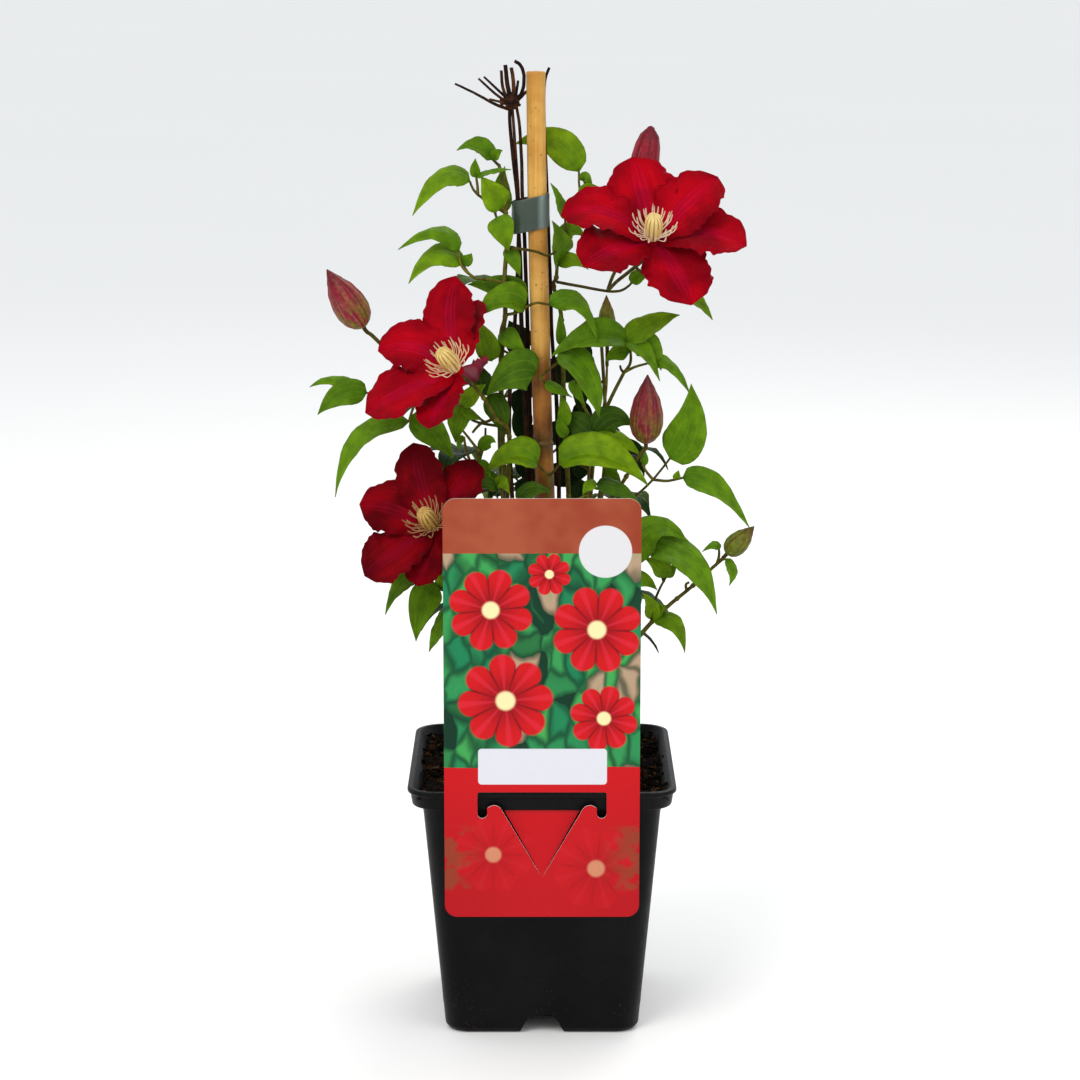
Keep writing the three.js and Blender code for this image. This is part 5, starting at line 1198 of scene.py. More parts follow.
@dataclass(frozen=True)
class BambooFinish:
    """Honey-coloured cane skin with long streaks, dark specks and a blotched ring, browner low down with stains and
    painted shade.
    """

    light: str = "#CFA050"
    dark: str = "#C08E40"
    blotch: str = "#5E5428"
    stain_and_shade: str = "#8A6E24"
    painted_shade_near_soil: str = "#6A5420"
    speck: str = "#5C3E1C"
    ring: float = 0.331

    def make(self) -> Material:
        """Returns the material."""
        made = Finish("bamboo_skin", self.dark, Specular_IOR_Level=0.2, Coat_Weight=0.05, Coat_Roughness=0.3)
        bench = made.bench
        stretched = bench.node("Mapping", None, Vector=made.place, Scale=(420.0, 420.0, 9.0)).outputs["Vector"]
        streaks = bench.noise(stretched, 1.0, 4.0)
        made.lay(self.light, bench.between(streaks, 0.35, 0.68))
        made.lay(made.mottle(38.0, "#FFFFFF", "#D3BC98")[0], 0.8, blend="MULTIPLY")
        height = bench.parts(made.place)["Z"]
        near = bench.below(bench.apart(height, self.ring), 0.001, 0.012)
        made.lay(self.blotch, bench.times(near, bench.between(bench.noise(made.place, 150.0), 0.3, 0.5)), 0.85)
        # Brown stain patches mixed with painted shade, below the leaves.
        made.lay(made.mottle(75.0, "#CCB088", self.stain_and_shade)[0], bench.below(height, 0.362, 0.392), blend="MULTIPLY")
        # Painted shade: darker towards the soil.
        made.lay(self.painted_shade_near_soil, bench.below(height, 0.25, 0.335), blend="MULTIPLY")
        made.lay(self.speck, made.specks(330.0, 0.24), 0.55)
        made.rough(streaks, 0.3, 0.28)
        made.bump(streaks, 0.0003, 0.5)
        return made.done()


@dataclass(frozen=True)
class PotFinish:
    """Satin black moulded plastic with scuffs, dust and splashed soil low down."""

    black: str = "#040404"
    wear_and_highlight: str = "#0B0B0B"
    dust: str = "#161514"
    soil: str = "#6E4026"

    def make(self) -> Material:
        """Returns the material."""
        made = Finish("pot_black", Specular_IOR_Level=0.09)
        bench = made.bench
        made.colour = made.mottle(26.0, self.black, self.wear_and_highlight)[0]
        made.lay(self.dust, bench.between(bench.noise(made.place, 90.0, 6.0), 0.5, 0.75), 0.22)
        low = bench.below(bench.parts(made.place)["Z"], 0.004, 0.06)
        patches = bench.between(bench.noise(made.place, 60.0), 0.5, 0.62)
        made.lay(self.soil, bench.times(low, made.specks(700.0, 0.2), patches), 0.8)
        made.rough(bench.noise(made.place, 420.0, 4.0), 0.26, 0.26)
        made.bump(made.grain(1300.0, 1100.0), 0.00018, 0.45)
        return made.done()


@dataclass(frozen=True)
class SoilFinish:
    """Dark, damp, fibrous compost."""

    name: str
    light: str
    dark: str
    crumb: str = "#22150A"

    def make(self) -> Material:
        """Returns the material."""
        made = Finish(self.name, Specular_IOR_Level=0.02)
        made.colour, mask = made.mottle(240.0, self.light, self.dark)
        made.lay(self.crumb, made.specks(420.0, 0.4), 0.5)
        made.rough(mask, 0.15, 0.8)
        made.bump(made.grain(700.0, 330.0), 0.0016, 0.9)
        return made.done()


@dataclass(frozen=True)
class TieFinish:
    """Soft grey-green plastic with a faint grain and a painted highlight where it curves round the cane."""

    main: str = "#303C32"
    light: str = "#445244"
    wear_and_highlight: str = "#8A9C98"
    bend: float = 0.0002

    def make(self) -> Material:
        """Returns the material."""
        made = Finish("tie_plastic", Specular_IOR_Level=0.4)
        bench = made.bench
        made.colour, mask = made.mottle(60.0, self.light, self.main)
        made.lay(self.main, 0.8)
        # Painted highlight: a lighter band down the strap where it curves round the cane.
        painted_highlight_band = bench.below(bench.apart(bench.parts(made.place)["X"], self.bend), 0.0, 0.0034)
        made.lay(self.wear_and_highlight, painted_highlight_band, 0.5)
        made.rough(mask, 0.1, 0.25)
        made.bump(bench.noise(made.place, 900.0), 0.0001, 0.3)
        return made.done()


@dataclass(frozen=True)
class LabelFinish:
    """A printed plastic sheet: a brown-red band, a bed of leaves with plain red rosettes, and a red foot.

    Places and sizes are in metres, to the right and above the ground. A rosette has its centre, its radius
    and its turn.
    """

    band_foot: float = 0.2826
    bed_foot: float = 0.1622
    red: str = "#C00C14"
    deep: str = "#A80A14"
    glow: str = "#CC1820"
    faded: str = "#6E4428"
    band: str = "#8E3822"
    band_light: str = "#9C4C32"
    green: str = "#12734A"
    leaf: str = "#3E9A4C"
    shade: str = "#06301F"
    tan: str = "#A88E72"
    slip: str = "#D0CFD6"
    slip_middle: Pair = (0.0003, 0.1626)
    slip_half: Pair = (0.0335, 0.0082)
    disc: str = "#D0CED0"
    disc_middle: Pair = (0.0345, 0.2836)
    disc_radius: float = 0.0142
    back: str = "#E8E4DC"
    petals: float = 8.0
    rosettes: tuple[Four, ...] = (
        (0.004, 0.271, 0.0120, 1.1), (-0.028, 0.251, 0.0235, 0.3), (0.030, 0.240, 0.0250, 2.0),
        (-0.020, 0.200, 0.0265, 0.7), (0.034, 0.190, 0.0190, 2.6),
    )
    faint_rosettes: tuple[Four, ...] = (
        (-0.027, 0.112, 0.0220, 0.4), (0.030, 0.104, 0.0240, 1.3),
    )

    def make(self) -> Material:
        """Returns the material."""
        made = Finish("label_print", Specular_IOR_Level=0.12, Coat_Weight=0.03, Coat_Roughness=0.2)
        bench, place = made.bench, made.place
        parts = bench.parts(place)
        spot = (parts["X"], parts["Z"])
        bed = self.print_rosettes(made, spot, self.rosettes, self.leaf_bed(bench, spot))
        wave = bench.times(bench.math("SINE", bench.times(spot[0], 52.0)), 0.0004)
        above = bench.math("GREATER_THAN", spot[1], bench.plus(wave, self.bed_foot))
        made.colour = bench.mix(above, self.red_foot(made, spot), bed)
        band = bench.mix(bench.between(bench.noise(place, 20.0), 0.4, 0.6), self.band, self.band_light)
        made.lay(band, bench.math("GREATER_THAN", spot[1], self.band_foot))
        self.lay_blanks(made, spot)
        looks = bench.parts(bench.node("NewGeometry").outputs["True Normal"])["Y"]
        made.colour = bench.mix(bench.math("LESS_THAN", looks, -0.7), self.back, made.colour)
        made.rough(bench.noise(place, 60.0), 0.12, 0.22)
        made.bump(bench.noise(place, 1500.0), 0.0001, 0.25)
        return made.done()

    def print_rosettes(self, made: Finish, spot: tuple[Socket, Socket], listed: Sequence[Sequence[float]],
                       colour: Socket) -> Socket:
        """Prints rosettes on a backdrop.

        Args:
            made: The finish of the label.
            spot: The place to the right and the height.
            listed: The rosettes.
            colour: The backdrop.

        Returns:
            The colour with them.
        """
        for x, z, radius, turn in listed:
            colour = made.effect(Effect.ROSETTE, X=spot[0], Z=spot[1], Centre_X=x, Centre_Z=z, Radius=radius,
                                 Petals=self.petals, Turn=turn, Backdrop=colour)["Color"]
        return colour

    def leaf_bed(self, bench: Bench, spot: tuple[Socket, Socket]) -> Socket:
        """Draws the printed leaves as bent cells, each with a rib and a dark gap round it.

        Args:
            bench: The bench of the material.
            spot: The place to the right and the height.

        Returns:
            Their colour.
        """
        plane = bench.plane(spot[0], bench.times(spot[1], 0.62))
        wander = bench.node("TexNoise", None, Vector=plane, Scale=60.0, Detail=2.0).outputs["Color"]
        bent = bench.node("VectorMath", {"operation": "MULTIPLY_ADD"})
        for socket, value in zip(bent.inputs, (wander, (0.012, 0.012, 0.0), plane)):
            bench.feed(socket, value)
        cells, edges = [bench.node("TexVoronoi", {"feature": feature}, Vector=bent.outputs["Vector"], Scale=92.0)
                        for feature in ("F1", "DISTANCE_TO_EDGE")]
        own = bench.node("SeparateColor", None, Color=cells.outputs["Color"]).outputs
        leaf = bench.mix(own["Red"], self.green, self.leaf)
        leaf = bench.mix(bench.between(own["Green"], 0.55, 1.0), leaf, self.shade)
        leaf = bench.mix(bench.math("GREATER_THAN", own["Blue"], 0.9), leaf, self.tan)
        rib, gap = [bench.between(edges.outputs["Distance"], low, high) for low, high in ((0.3, 0.5), (0.0, 0.22))]
        leaf = bench.mix(bench.times(rib, 0.35), leaf, self.leaf)
        return bench.mix(bench.plus(bench.times(gap, 0.75), 0.25), self.shade, leaf)

    def red_foot(self, made: Finish, spot: tuple[Socket, Socket]) -> Socket:
        """Draws the red foot of the label, with faint rosettes and leaves beside them.

        Args:
            made: The finish of the label.
            spot: The place to the right and the height.

        Returns:
            Its colour.
        """
        bench, aside = made.bench, made.bench.math("ABSOLUTE", spot[0])
        foot = bench.mix(bench.between(spot[1], 0.08, 0.2), self.deep, self.red)
        foot = bench.mix(bench.times(bench.below(aside, 0.0, 0.06), 0.2), foot, self.glow)
        foot = bench.mix(0.3, foot, self.print_rosettes(made, spot, self.faint_rosettes, foot))
        level = bench.below(bench.apart(spot[1], 0.110), 0.016, 0.020)
        beside = bench.times(bench.between(aside, 0.030, 0.052), level)
        leafy = bench.times(bench.between(bench.noise(made.place, 110.0), 0.42, 0.52), 0.6)
        return bench.mix(bench.times(leafy, beside), foot, self.faded)

    def lay_blanks(self, made: Finish, spot: tuple[Socket, Socket]) -> None:
        """Lays on the white disc and the white slip with its round corners, both bare.

        Args:
            made: The finish of the label.
            spot: The place to the right and the height.
        """
        bench = made.bench
        far = bench.length(*[bench.apart(place, middle) for place, middle in zip(spot, self.disc_middle)])
        made.lay(self.disc, bench.below(far, self.disc_radius, self.disc_radius + 0.0005))
        past = [bench.math("MAXIMUM", bench.minus(bench.apart(place, middle), half), 0.0)
                for place, middle, half in zip(spot, self.slip_middle, self.slip_half)]
        made.lay(self.slip, bench.below(bench.length(*past), 0.0018, 0.0022))


@dataclass(frozen=True)
class StudioFinish:
    """The pale floor and backdrop of the studio."""

    pale: str = "#F4F3F0"
    light: str = "#F5F4F1"

    def make(self) -> Material:
        """Returns the material."""
        made = Finish("studio_pale", self.pale, Specular_IOR_Level=0.2)
        faint = made.bench.between(made.bench.noise(made.place, 0.7, 1.0), 0.2, 0.8)
        made.lay(self.light, faint)
        made.rough(faint, 0.1, 0.7)
        return made.done()


@dataclass
class Pot:
    """The square nursery pot, in millimetres; a side is the full width of one square ring."""

    height: float = 147.0
    rim_side: float = 150.0
    collar_side: float = 147.0
    mouth_side: float = 143.8
    collar_foot_side: float = 145.0
    collar_foot: float = 136.5
    neck_side: float = 133.6
    base_side: float = 109.6
    corner: float = 12.0
    wall: float = 2.0
    floor_top: float = 15.0
    corner_steps: int = 14
    channel_high: float = 10.5
    channel_top_half: float = 8.0
    channel_foot_half: float = 13.0
    channel_inner: float = 20.0
    trench_half: float = 52.0
    trench_top: float = 142.5
    trench_walls: tuple[Pair, Pair] = ((66.9, 71.3), (70.7, 72.2))

    def ring(self, side: float, corner: float, z: float) -> Ring:
        """Returns one square ring with round corners, from millimetres."""
        flat = side / 2 - corner
        turns = [(quarter, math.pi / 2 * (quarter + step / self.corner_steps))
                 for quarter in range(4) for step in range(self.corner_steps + 1)]
        signs = ((1, 1), (-1, 1), (-1, -1), (1, -1))
        return [plain((signs[quarter][0] * flat + corner * math.cos(turn),
                       signs[quarter][1] * flat + corner * math.sin(turn), z)) for quarter, turn in turns]

    def side_at(self, z: float) -> float:
        """Returns the outer side of the body at a height."""
        return self.base_side + (self.neck_side - self.base_side) * z / self.collar_foot

    def profile(self) -> list[Row]:
        """Returns the wall's outline from the middle below, round the rim, to the middle inside.

        Returns:
            The side, the radius of the corners and the height of each ring.
        """
        top, rim, foot, collar = self.height, self.rim_side, self.collar_foot, self.collar_foot_side
        rings = [(8.0, -9, 0.0), (60.0, -4, 0.0), (105.0, -0.6, 0.0), (106.6, 0, 0.25)]
        rings += [(self.side_at(3) - 0.5, 0, 2.4), (self.side_at(3.4), 0, 3.4), (self.side_at(14.6), 0, 14.6),
                  (self.side_at(14.6) + 0.3, 0, 15.2)]
        rings += [(self.side_at(z), 0, z) for z in (24, 45, 70, 95, 118, 130)]
        rings += [(self.neck_side, 0, foot - 1.6), (self.neck_side + 1.0, 1, foot - 0.9),
                  (collar - 3, 3, foot - 0.25), (collar - 0.7, 3, foot), (collar, 3, foot + 0.8),
                  (self.collar_side - 0.5, 3, 142.6), (self.collar_side, 3, 143.6)]
        rings += [(rim - 0.7, 4, 144.1), (rim, 4, 144.7), (rim, 4, top - 1.1), (rim - 0.5, 4, top - 0.35),
                  (rim - 1.6, 4, top), (self.mouth_side + 0.4, 1, top), (self.mouth_side - 0.5, 1, top - 0.5)]
        hollow = [(self.neck_side, 0.9, foot + 0.7), (self.neck_side, 0.0, foot - 0.4)]
        hollow += [(self.side_at(z), 0.0, z) for z in (120, 80, 40, 16)]
        hollow += [(self.side_at(16), -1.5, self.floor_top)]
        rings += [(side - 2 * self.wall + more, -self.wall, z) for side, more, z in hollow]
        rings += [(60.0, -6, self.floor_top), (8.0, -9, self.floor_top)]
        return [(side, self.corner + more, z) for side, more, z in rings]

    def build(self, finish: Material) -> None:
        """Makes the pot with its drainage channels.

        Args:
            finish: The material of the pot.
        """
        mould = Mould()
        mould.rings([self.ring(*measures) for measures in self.profile()])
        pot = mould.piece("pot_shell", [finish], "pot_plastic", ["pot"])
        for quarter in range(4):
            for rows in (self.channel(), self.trench()):
                self.cut(pot, rows, quarter * math.pi / 2)
        self.soften(pot)

    def channel(self) -> list[list[Point]]:
        """Returns the rows of the tool that cuts one channel under the pot."""
        high, top, foot, bevel = self.channel_high, self.channel_top_half, self.channel_foot_half, 1.2
        section = [(-foot, -1.0), (foot, -1.0), (top, high - bevel), (top - bevel, high), (-top + bevel, high),
                   (-top, high - bevel)]
        return [[(x, y, z) for x, z in section] for y in (-self.channel_inner, -self.base_side)]

    def trench(self) -> list[list[Point]]:
        """Returns the rows of the tool that frees the collar from the wall on one side."""
        half, foot, (low, high) = self.trench_half, self.collar_foot, self.trench_walls
        rows = [(foot - 2.5, *low), (foot, *low), (self.trench_top, *high)]
        return [[(-half, -b, z), (half, -b, z), (half, -a, z), (-half, -a, z)] for z, a, b in rows]

    def cut(self, pot: Thing, rows: Sequence[Sequence[Point]], turn: float) -> None:
        """Cuts a tool out of the pot.

        Args:
            pot: The pot.
            rows: The rows of the tool, in millimetres, on the side that looks along minus y.
            turn: The angle that the tool is turned by.
        """
        mould = Mould()
        mould.rings([[plain((x * math.cos(turn) - y * math.sin(turn), x * math.sin(turn) + y * math.cos(turn), z))
                      for x, y, z in row] for row in rows])
        tool = add_object("cutting_tool", mould.mesh("cutting_tool", smooth=False))
        cutter = pot.modifiers.new("cut", "BOOLEAN")
        cutter.operation, cutter.object, cutter.solver = "DIFFERENCE", tool, "EXACT"
        bake_modifiers(pot)
        bpy.data.objects.remove(tool)

    def soften(self, pot: Thing) -> None:
        """Rounds the sharp edges of the pot a little."""
        bevel = pot.modifiers.new("soft_edges", "BEVEL")
        bevel.width, bevel.segments, bevel.limit_method, bevel.angle_limit = 0.0003, 2, "ANGLE", math.radians(50)
        bake_modifiers(pot)
        pot.data.polygons.foreach_set("use_smooth", [True] * len(pot.data.polygons))
        pot.data.set_sharp_from_angle(angle=math.radians(38))


@dataclass
class Compost:
    """Bark flakes, fibres and crumbs on the compost, in millimetres."""

    top: float = 141.0
    relief: float = 2.2
    half: float = 70.4
    flakes: int = 1300
    corners: int = 6
    fibres: int = 420
    joints: int = 5
    lift: float = 0.5
    chance: random.Random = field(default_factory=lambda: random.Random(7))

    def height_at(self, x: float, y: float) -> float:
        """Returns the height of the compost at a place."""
        return self.top + self.relief * (math.sin(0.31 * x + 1.3 * math.sin(0.17 * y)) * math.cos(0.27 * y + 0.6)
                                         + 0.5 * math.sin(0.83 * x + 0.61 * y))

    def build(self, finishes: Sequence[Material]) -> None:
        """Makes the loose cover of the compost.

        Args:
            finishes: The materials of dark and of light flakes.
        """
        mould = Mould()
        for _ in range(self.flakes):
            self.flake(mould)
        for _ in range(self.fibres):
            self.fibre(mould)
        mould.piece("compost_cover", finishes, "compost_fill", smooth=False)

    def spot(self) -> Pair:
        """Returns a place on the compost."""
        return self.chance.uniform(-self.half, self.half), self.chance.uniform(-self.half, self.half)

    def flake(self, mould: Mould) -> None:
        """Adds one flat broken flake of bark."""
        x, y = self.spot()
        long = min(self.chance.uniform(1.0, 2.6) ** 1.5, max(self.half + 1 - max(abs(x), abs(y)), 0.8))
        turn, tilt, tone = self.chance.uniform(0, math.tau), self.chance.uniform(-0.5, 0.5), self.chance.random()
        wide, thick = long * self.chance.uniform(0.3, 0.7), self.chance.uniform(0.4, 1.0)
        rows = []
        for level in (0, 1):
            ring = []
            for corner, angle in enumerate(angles(self.corners)):
                radius = 1 + 0.3 * math.sin(corner * 2.3 + tone * 20)
                u, v = long * radius * math.cos(angle), wide * radius * math.sin(angle)
                px, py = u * math.cos(turn) - v * math.sin(turn), u * math.sin(turn) + v * math.cos(turn)
                rise = u * math.sin(tilt) + thick * (level - 0.3) + 0.3 * tone + self.lift
                ring.append(plain((x + px, y + py, self.height_at(x, y) + rise)))
            rows.append(ring)
        mould.rings(rows, [[(0.5, 0.5, tone, 0.0)] * self.corners] * 2, int(tone > 0.8))

    def fibre(self, mould: Mould) -> None:
        """Adds one thin bent fibre."""
        x, y = self.spot()
        turn = self.chance.uniform(0, math.tau)
        path = []
        for step in range(self.joints):
            reach = (step - self.joints // 2) * self.chance.uniform(1.0, 1.9)
            px = max(min(x + reach * math.cos(turn), self.half), -self.half)
            py = max(min(y + reach * math.sin(turn), self.half), -self.half)
            path.append(plain((px, py, self.height_at(px, py) + 0.9 + self.chance.uniform(0, 1.6))))
            turn += self.chance.uniform(-0.5, 0.5)
        mould.tube(path, tapered(self.joints, 0.34, 0.16), 5, 1, self.chance.random())


@dataclass
class Cane:
    """The bamboo cane, in millimetres; its axis lists how far to the right it is at some heights."""

    radius: float = 5.35
    node: float = 331.0
    foot: float = 17.0
    top: float = 538.0
    pith: float = 2.0
    pith_depth: float = 2.5
    axis: Pairs = ((9.5, 17), (8, 110), (5, 210), (1.8, 305), (0.2, 350), (-1.4, 410),
                                             (-2.7, 470), (-3.4, 538))
    sides: int = 40
    steps: int = 60
    near_node: Row = (-6, -3.4, -2.4, -1.7, -1.2, -0.7, 0, 0.6, 1.2, 2, 3.4, 6)

    def axis_at(self, z: float) -> float:
        """Returns how far to the right the middle of the cane is at a height."""
        last = len(self.axis) - 1
        i = next((i for i in range(last) if z <= self.axis[i + 1][1]), last - 1)
        (x0, z0), (x1, z1) = self.axis[i:i + 2]
        t = min(max((z - z0) / (z1 - z0), 0.0), 1.0)
        return smooth_step(self.axis[max(i - 1, 0)][0], x0, x1, self.axis[min(i + 2, last)][0], t)

    def build(self, finish: Material) -> None:
        """Makes the cane with its ring and the pith at its cut top.

        Args:
            finish: The material of the cane.
        """
        mould = Mould()
        heights = [self.foot + i * (self.top - 1 - self.foot) / self.steps for i in range(self.steps + 1)]
        heights += [self.node + away for away in self.near_node]
        rows = [self.ring(z, self.radius + self.swell(z)) for z in sorted(heights)]
        rows += [self.ring(self.top - down, radius) for down, radius in (
            (0.4, self.radius - 0.15), (0, self.radius - 0.6), (0, self.pith + 0.3), (0.3, self.pith),
            (self.pith_depth, self.pith - 0.2))]
        mould.rings(rows)
        cane = mould.piece("cane", [finish], "bamboo", ["bamboo_cane"])
        cane.data.set_sharp_from_angle(angle=math.radians(60))

    def swell(self, z: float) -> float:
        """Returns how much the cane stands out at a height."""
        away = z - self.node
        return (0.62 * math.exp(-((away + 0.9) / 1.0) ** 2) - 0.35 * math.exp(-((away - 1.5) / 0.8) ** 2)
                + 0.28 * math.exp(-((away - 3.0) / 1.6) ** 2))

    def ring(self, z: float, radius: float) -> Ring:
        """Returns one ring of the cane, a little uneven."""
        middle, ring = self.axis_at(z), []
        for angle in angles(self.sides):
            uneven = 1 + 0.012 * math.sin(2 * angle + 0.02 * z)
            ring.append(plain((middle + radius * uneven * math.cos(angle), radius * uneven * math.sin(angle), z)))
        return ring


@dataclass
class Tie:
    """The plastic strap round the cane and the old stems, in millimetres and degrees."""

    thick: float = 0.9
    tall: float = 18.5
    round_edge: float = 0.15
    height: float = 460.5
    cane: Row = (-2.5, 0.0, 5.85)
    stems: Row = (-10.3, 1.4, 5.7)
    tilt: float = 12.5
    steps: int = 26

    def outline(self, grow: float) -> list[Pair]:
        """Returns the strap's line round both, grown by some millimetres."""
        return [(x + (radius + grow) * math.cos(math.radians(start + 180 * step / self.steps)),
                 y + (radius + grow) * math.sin(math.radians(start + 180 * step / self.steps)))
                for (x, y, radius), start in ((self.cane, -90), (self.stems, 90)) for step in range(self.steps + 1)]

    def build(self, finish: Material) -> None:
        """Makes the strap with rounded edges.

        Args:
            finish: The material of the strap.
        """
        half, thick, edge = self.tall / 2, self.thick, self.round_edge
        section = [(thick, -half + 0.5), (thick, -half / 2), (thick + 0.06, 0), (thick, half / 2),
                   (thick, half - 0.5), (thick - edge, half - 0.12), (thick / 2, half), (edge, half - 0.12),
                   (0.0, half - 0.5), (0.0, -half + 0.5), (edge, -half + 0.12), (thick / 2, -half),
                   (thick - edge, -half + 0.12)]
        slope = math.tan(math.radians(self.tilt))
        rows = [[plain((x, y, self.height + rise + (x - self.cane[0]) * slope)) for x, y in self.outline(grow)]
                for grow, rise in section]
        mould = Mould()
        mould.rings([*rows, rows[0]], foot=False, top=False)
        band = mould.piece("tie_strap", [finish], "tie_plastic", ["tie_band"])
        band.modifiers.new("weld", "WELD").merge_threshold = 1e-6
        bake_modifiers(band)
        band.data.set_sharp_from_angle(angle=math.radians(50))


@dataclass
class OldStems:
    """Last year's dark stems, the crown they come from and the brush of twigs at the top, in millimetres."""

    crown: Row = (-7.0, 6.0, 7.0)
    levels: Pairs = ((0.5, 94), (0.8, 115), (1.0, 136), (0.57, 145))
    knot: Row = (-16.6, 0.1, 521.3)
    knot_radius: float = 4.3
    knot_half: float = 4.5
    knot_steps: int = 8
    stubs: int = 22
    stub_turn: float = 2.39996
    stub_radii: Row = (1.1, 0.85, 0.75)

    def build(self, finish: Material) -> None:
        """Makes the old stems.

        Args:
            finish: The material of the stems.
        """
        mould = Mould()
        for listed, steps, sides, turn in ((OLD_STEMS, 8, 10, 0.37), (BRUSH, 6, 8, 0.61)):
            for number, (thick, thin, path) in enumerate(listed):
                line = curve_through([seen(point) for point in path], steps)
                mould.tube(line, tapered(len(line), thick, thin), sides, 0, (number * turn) % 1, self.bark)
        self.add_knot(mould)
        x, y, radius = self.crown
        line = [plain((x, y, z)) for _, z in self.levels]
        mould.tube(line, [radius * share * MM for share, _ in self.levels], 18, 0, 0.4, self.bark)
        mould.piece("dead_stems", [finish], "old_wood", ["old_stems"])

    def bark(self, share: float, angle: float) -> float:
        """Returns how the radius of a stem changes with its ridges."""
        return 1 + 0.08 * math.sin(3 * angle + 9 * share) + 0.05 * math.sin(37 * share + angle)

    def add_knot(self, mould: Mould) -> None:
        """Adds the swollen knot that the twigs of the brush leave from, with cut stubs on it."""
        for i in range(self.stubs):
            turn, lift = self.stub_turn * i, -0.4 + 1.3 * i / self.stubs
            way = Vector((math.cos(turn), 0.8 * math.sin(turn), lift)).normalized()
            reach = 5.2 + 1.9 * math.sin(3.7 * i)
            stub = [plain(Vector(self.knot) + way * far) for far in (1.5, reach - 1, reach)]
            mould.tube(stub, [radius * MM for radius in self.stub_radii], 8, 0, (0.23 * i) % 1, self.bark)
        x, y, z = self.knot
        turns = [math.pi * step / self.knot_steps for step in range(self.knot_steps + 1)]
        line = [plain((x, y, z - self.knot_half * math.cos(turn))) for turn in turns]
        mould.tube(line, [max(self.knot_radius * math.sin(turn), 0.3) * MM for turn in turns], 14, 0, 0.5, self.bark)


@dataclass
class Frame:
    """A place with three directions of its own."""

    centre: Vector
    up: Vector
    side: Vector
    front: Vector

    @classmethod
    def on(cls, centre: Vector, up: Vector, guide: Point) -> "Frame":
        """Returns the frame at a place with a way up, its side square to a guide."""
        side = Vector(guide).cross(up).normalized()
        return cls(centre, up, side, up.cross(side))

    def above(self, height: float) -> Vector:
        """Returns the place at a height in millimetres."""
        return self.centre + self.up * (height * MM)

    def around(self, radius: float, height: float, angle: float) -> Vector:
        """Returns the place at a radius, height and angle, the lengths in millimetres."""
        out = self.side * math.cos(angle) + self.front * math.sin(angle)
        return self.centre + (out * radius + self.up * height) * MM


def bloom_frame(bloom: dict) -> Frame:
    """Returns the frame of a bloom, its centre where the tepals meet."""
    return Frame.on(seen(bloom["centre"]), Vector(bloom["axis"]).normalized(), (0, 0, 1))


def bud_frame(bud: dict) -> Frame:
    """Returns the frame of a bud, its centre at its foot."""
    return Frame.on(seen(bud["base"]), (seen(bud["tip"]) - seen(bud["base"])).normalized(), (0, -1, 0))


def stalk_end(name: str) -> list[Vector]:
    """Returns the last two places of the stalk that carries a bloom or a bud."""
    frame, under = (bloom_frame(BLOOMS[name]), 1.7) if name in BLOOMS else (bud_frame(BUDS[name]), 0.3)
    return [frame.above(-(under + 3)), frame.above(-under)]


@dataclass
class Growth:
    """How stems and leaf stalks of a leafy shoot are drawn out, in millimetres."""

    name: str
    buried: float = 115.0
    ground: float = 145.0
    stem: float = 1.5
    stem_tip: float = 0.9
    twig: float = 0.85
    twig_tip: float = 0.6
    bloom: float = 1.15
    joint: Row = (0.7, 1.25, 1.55, 1.3, 0.7)

    def swollen(self, share: float, angle: float) -> float:
        """Returns the fine ridges along a stem."""
        return 1 + 0.07 * math.cos(6 * angle) + 0.04 * math.sin(40 * share + angle)

    def add_stem(self, mould: Mould, vine: Vine) -> list[Vector]:
        """Adds the main stem, with a swollen joint where leaves leave it.

        Args:
            mould: The mould of the shoot.
            vine: The listed shoot.

        Returns:
            The places that it passes.
        """
        path = [plain((*vine.foot, z)) for z in (self.buried, self.ground)]
        path += [seen(point) for point in vine.stem]
        line = curve_through(path, 8)
        mould.tube(line, tapered(len(line), self.stem, self.stem_tip), 10, 1, 0.45, self.swollen)
        for before, point, after in zip(path[2:], path[3:], path[4:]):
            along = (after - before).normalized()
            line = [point + along * ((i - len(self.joint) // 2) * MM) for i in range(len(self.joint))]
            mould.tube(line, [radius * MM for radius in self.joint], 10, 1, 0.7)
        return path

    def add_twig(self, mould: Mould, path: Sequence[Vector], tone: float) -> None:
        """Adds one leaf stalk."""
        line = curve_through(path, 6)
        mould.tube(line, tapered(len(line), self.twig, self.twig_tip), 8, 1, tone, self.swollen)


@dataclass
class Shoot(Growth):
    """One leafy shoot on the front of the plant."""

    reach: float = 1.8

    def build(self, finishes: Sequence[Material]) -> None:
        """Makes the stem, leaf stalks, bloom stalks and leaflets in one piece.

        Args:
            finishes: The materials of leaves and of stems.
        """
        vine = VINES[self.name]
        mould = Mould()
        self.add_stem(mould, vine)
        for number, twig in enumerate(vine.twigs):
            self.add_twig(mould, [seen(point) for point in twig], (number * 0.31) % 1)
        for carried, path in vine.stalks.items():
            line = curve_through([*[seen(point) for point in path], *stalk_end(carried)], 6)
            mould.tube(line, tapered(len(line), self.stem_tip, self.bloom), 10, 1, 0.2, self.swollen)
        ends = [seen(path[-1]) for path in [*vine.twigs, vine.stem]]
        for number, (base, mid, tip, width, face, fold) in enumerate(vine.leaves):
            root = next((end for end in ends if (end - seen(base)).length < self.reach * MM), seen(base))
            tone = LEAF_TONES.get(self.name, {}).get(number, 0.42 + 0.45 * ((number * 0.381) % 1))
            blade = Blade(root, seen(mid), seen(tip), width, Face[face.upper()].direction, fold, LEAF_FORM)
            blade.add_to(mould, 0, tone)
        mould.piece(self.name + "_grown", finishes, "foliage", [self.name])


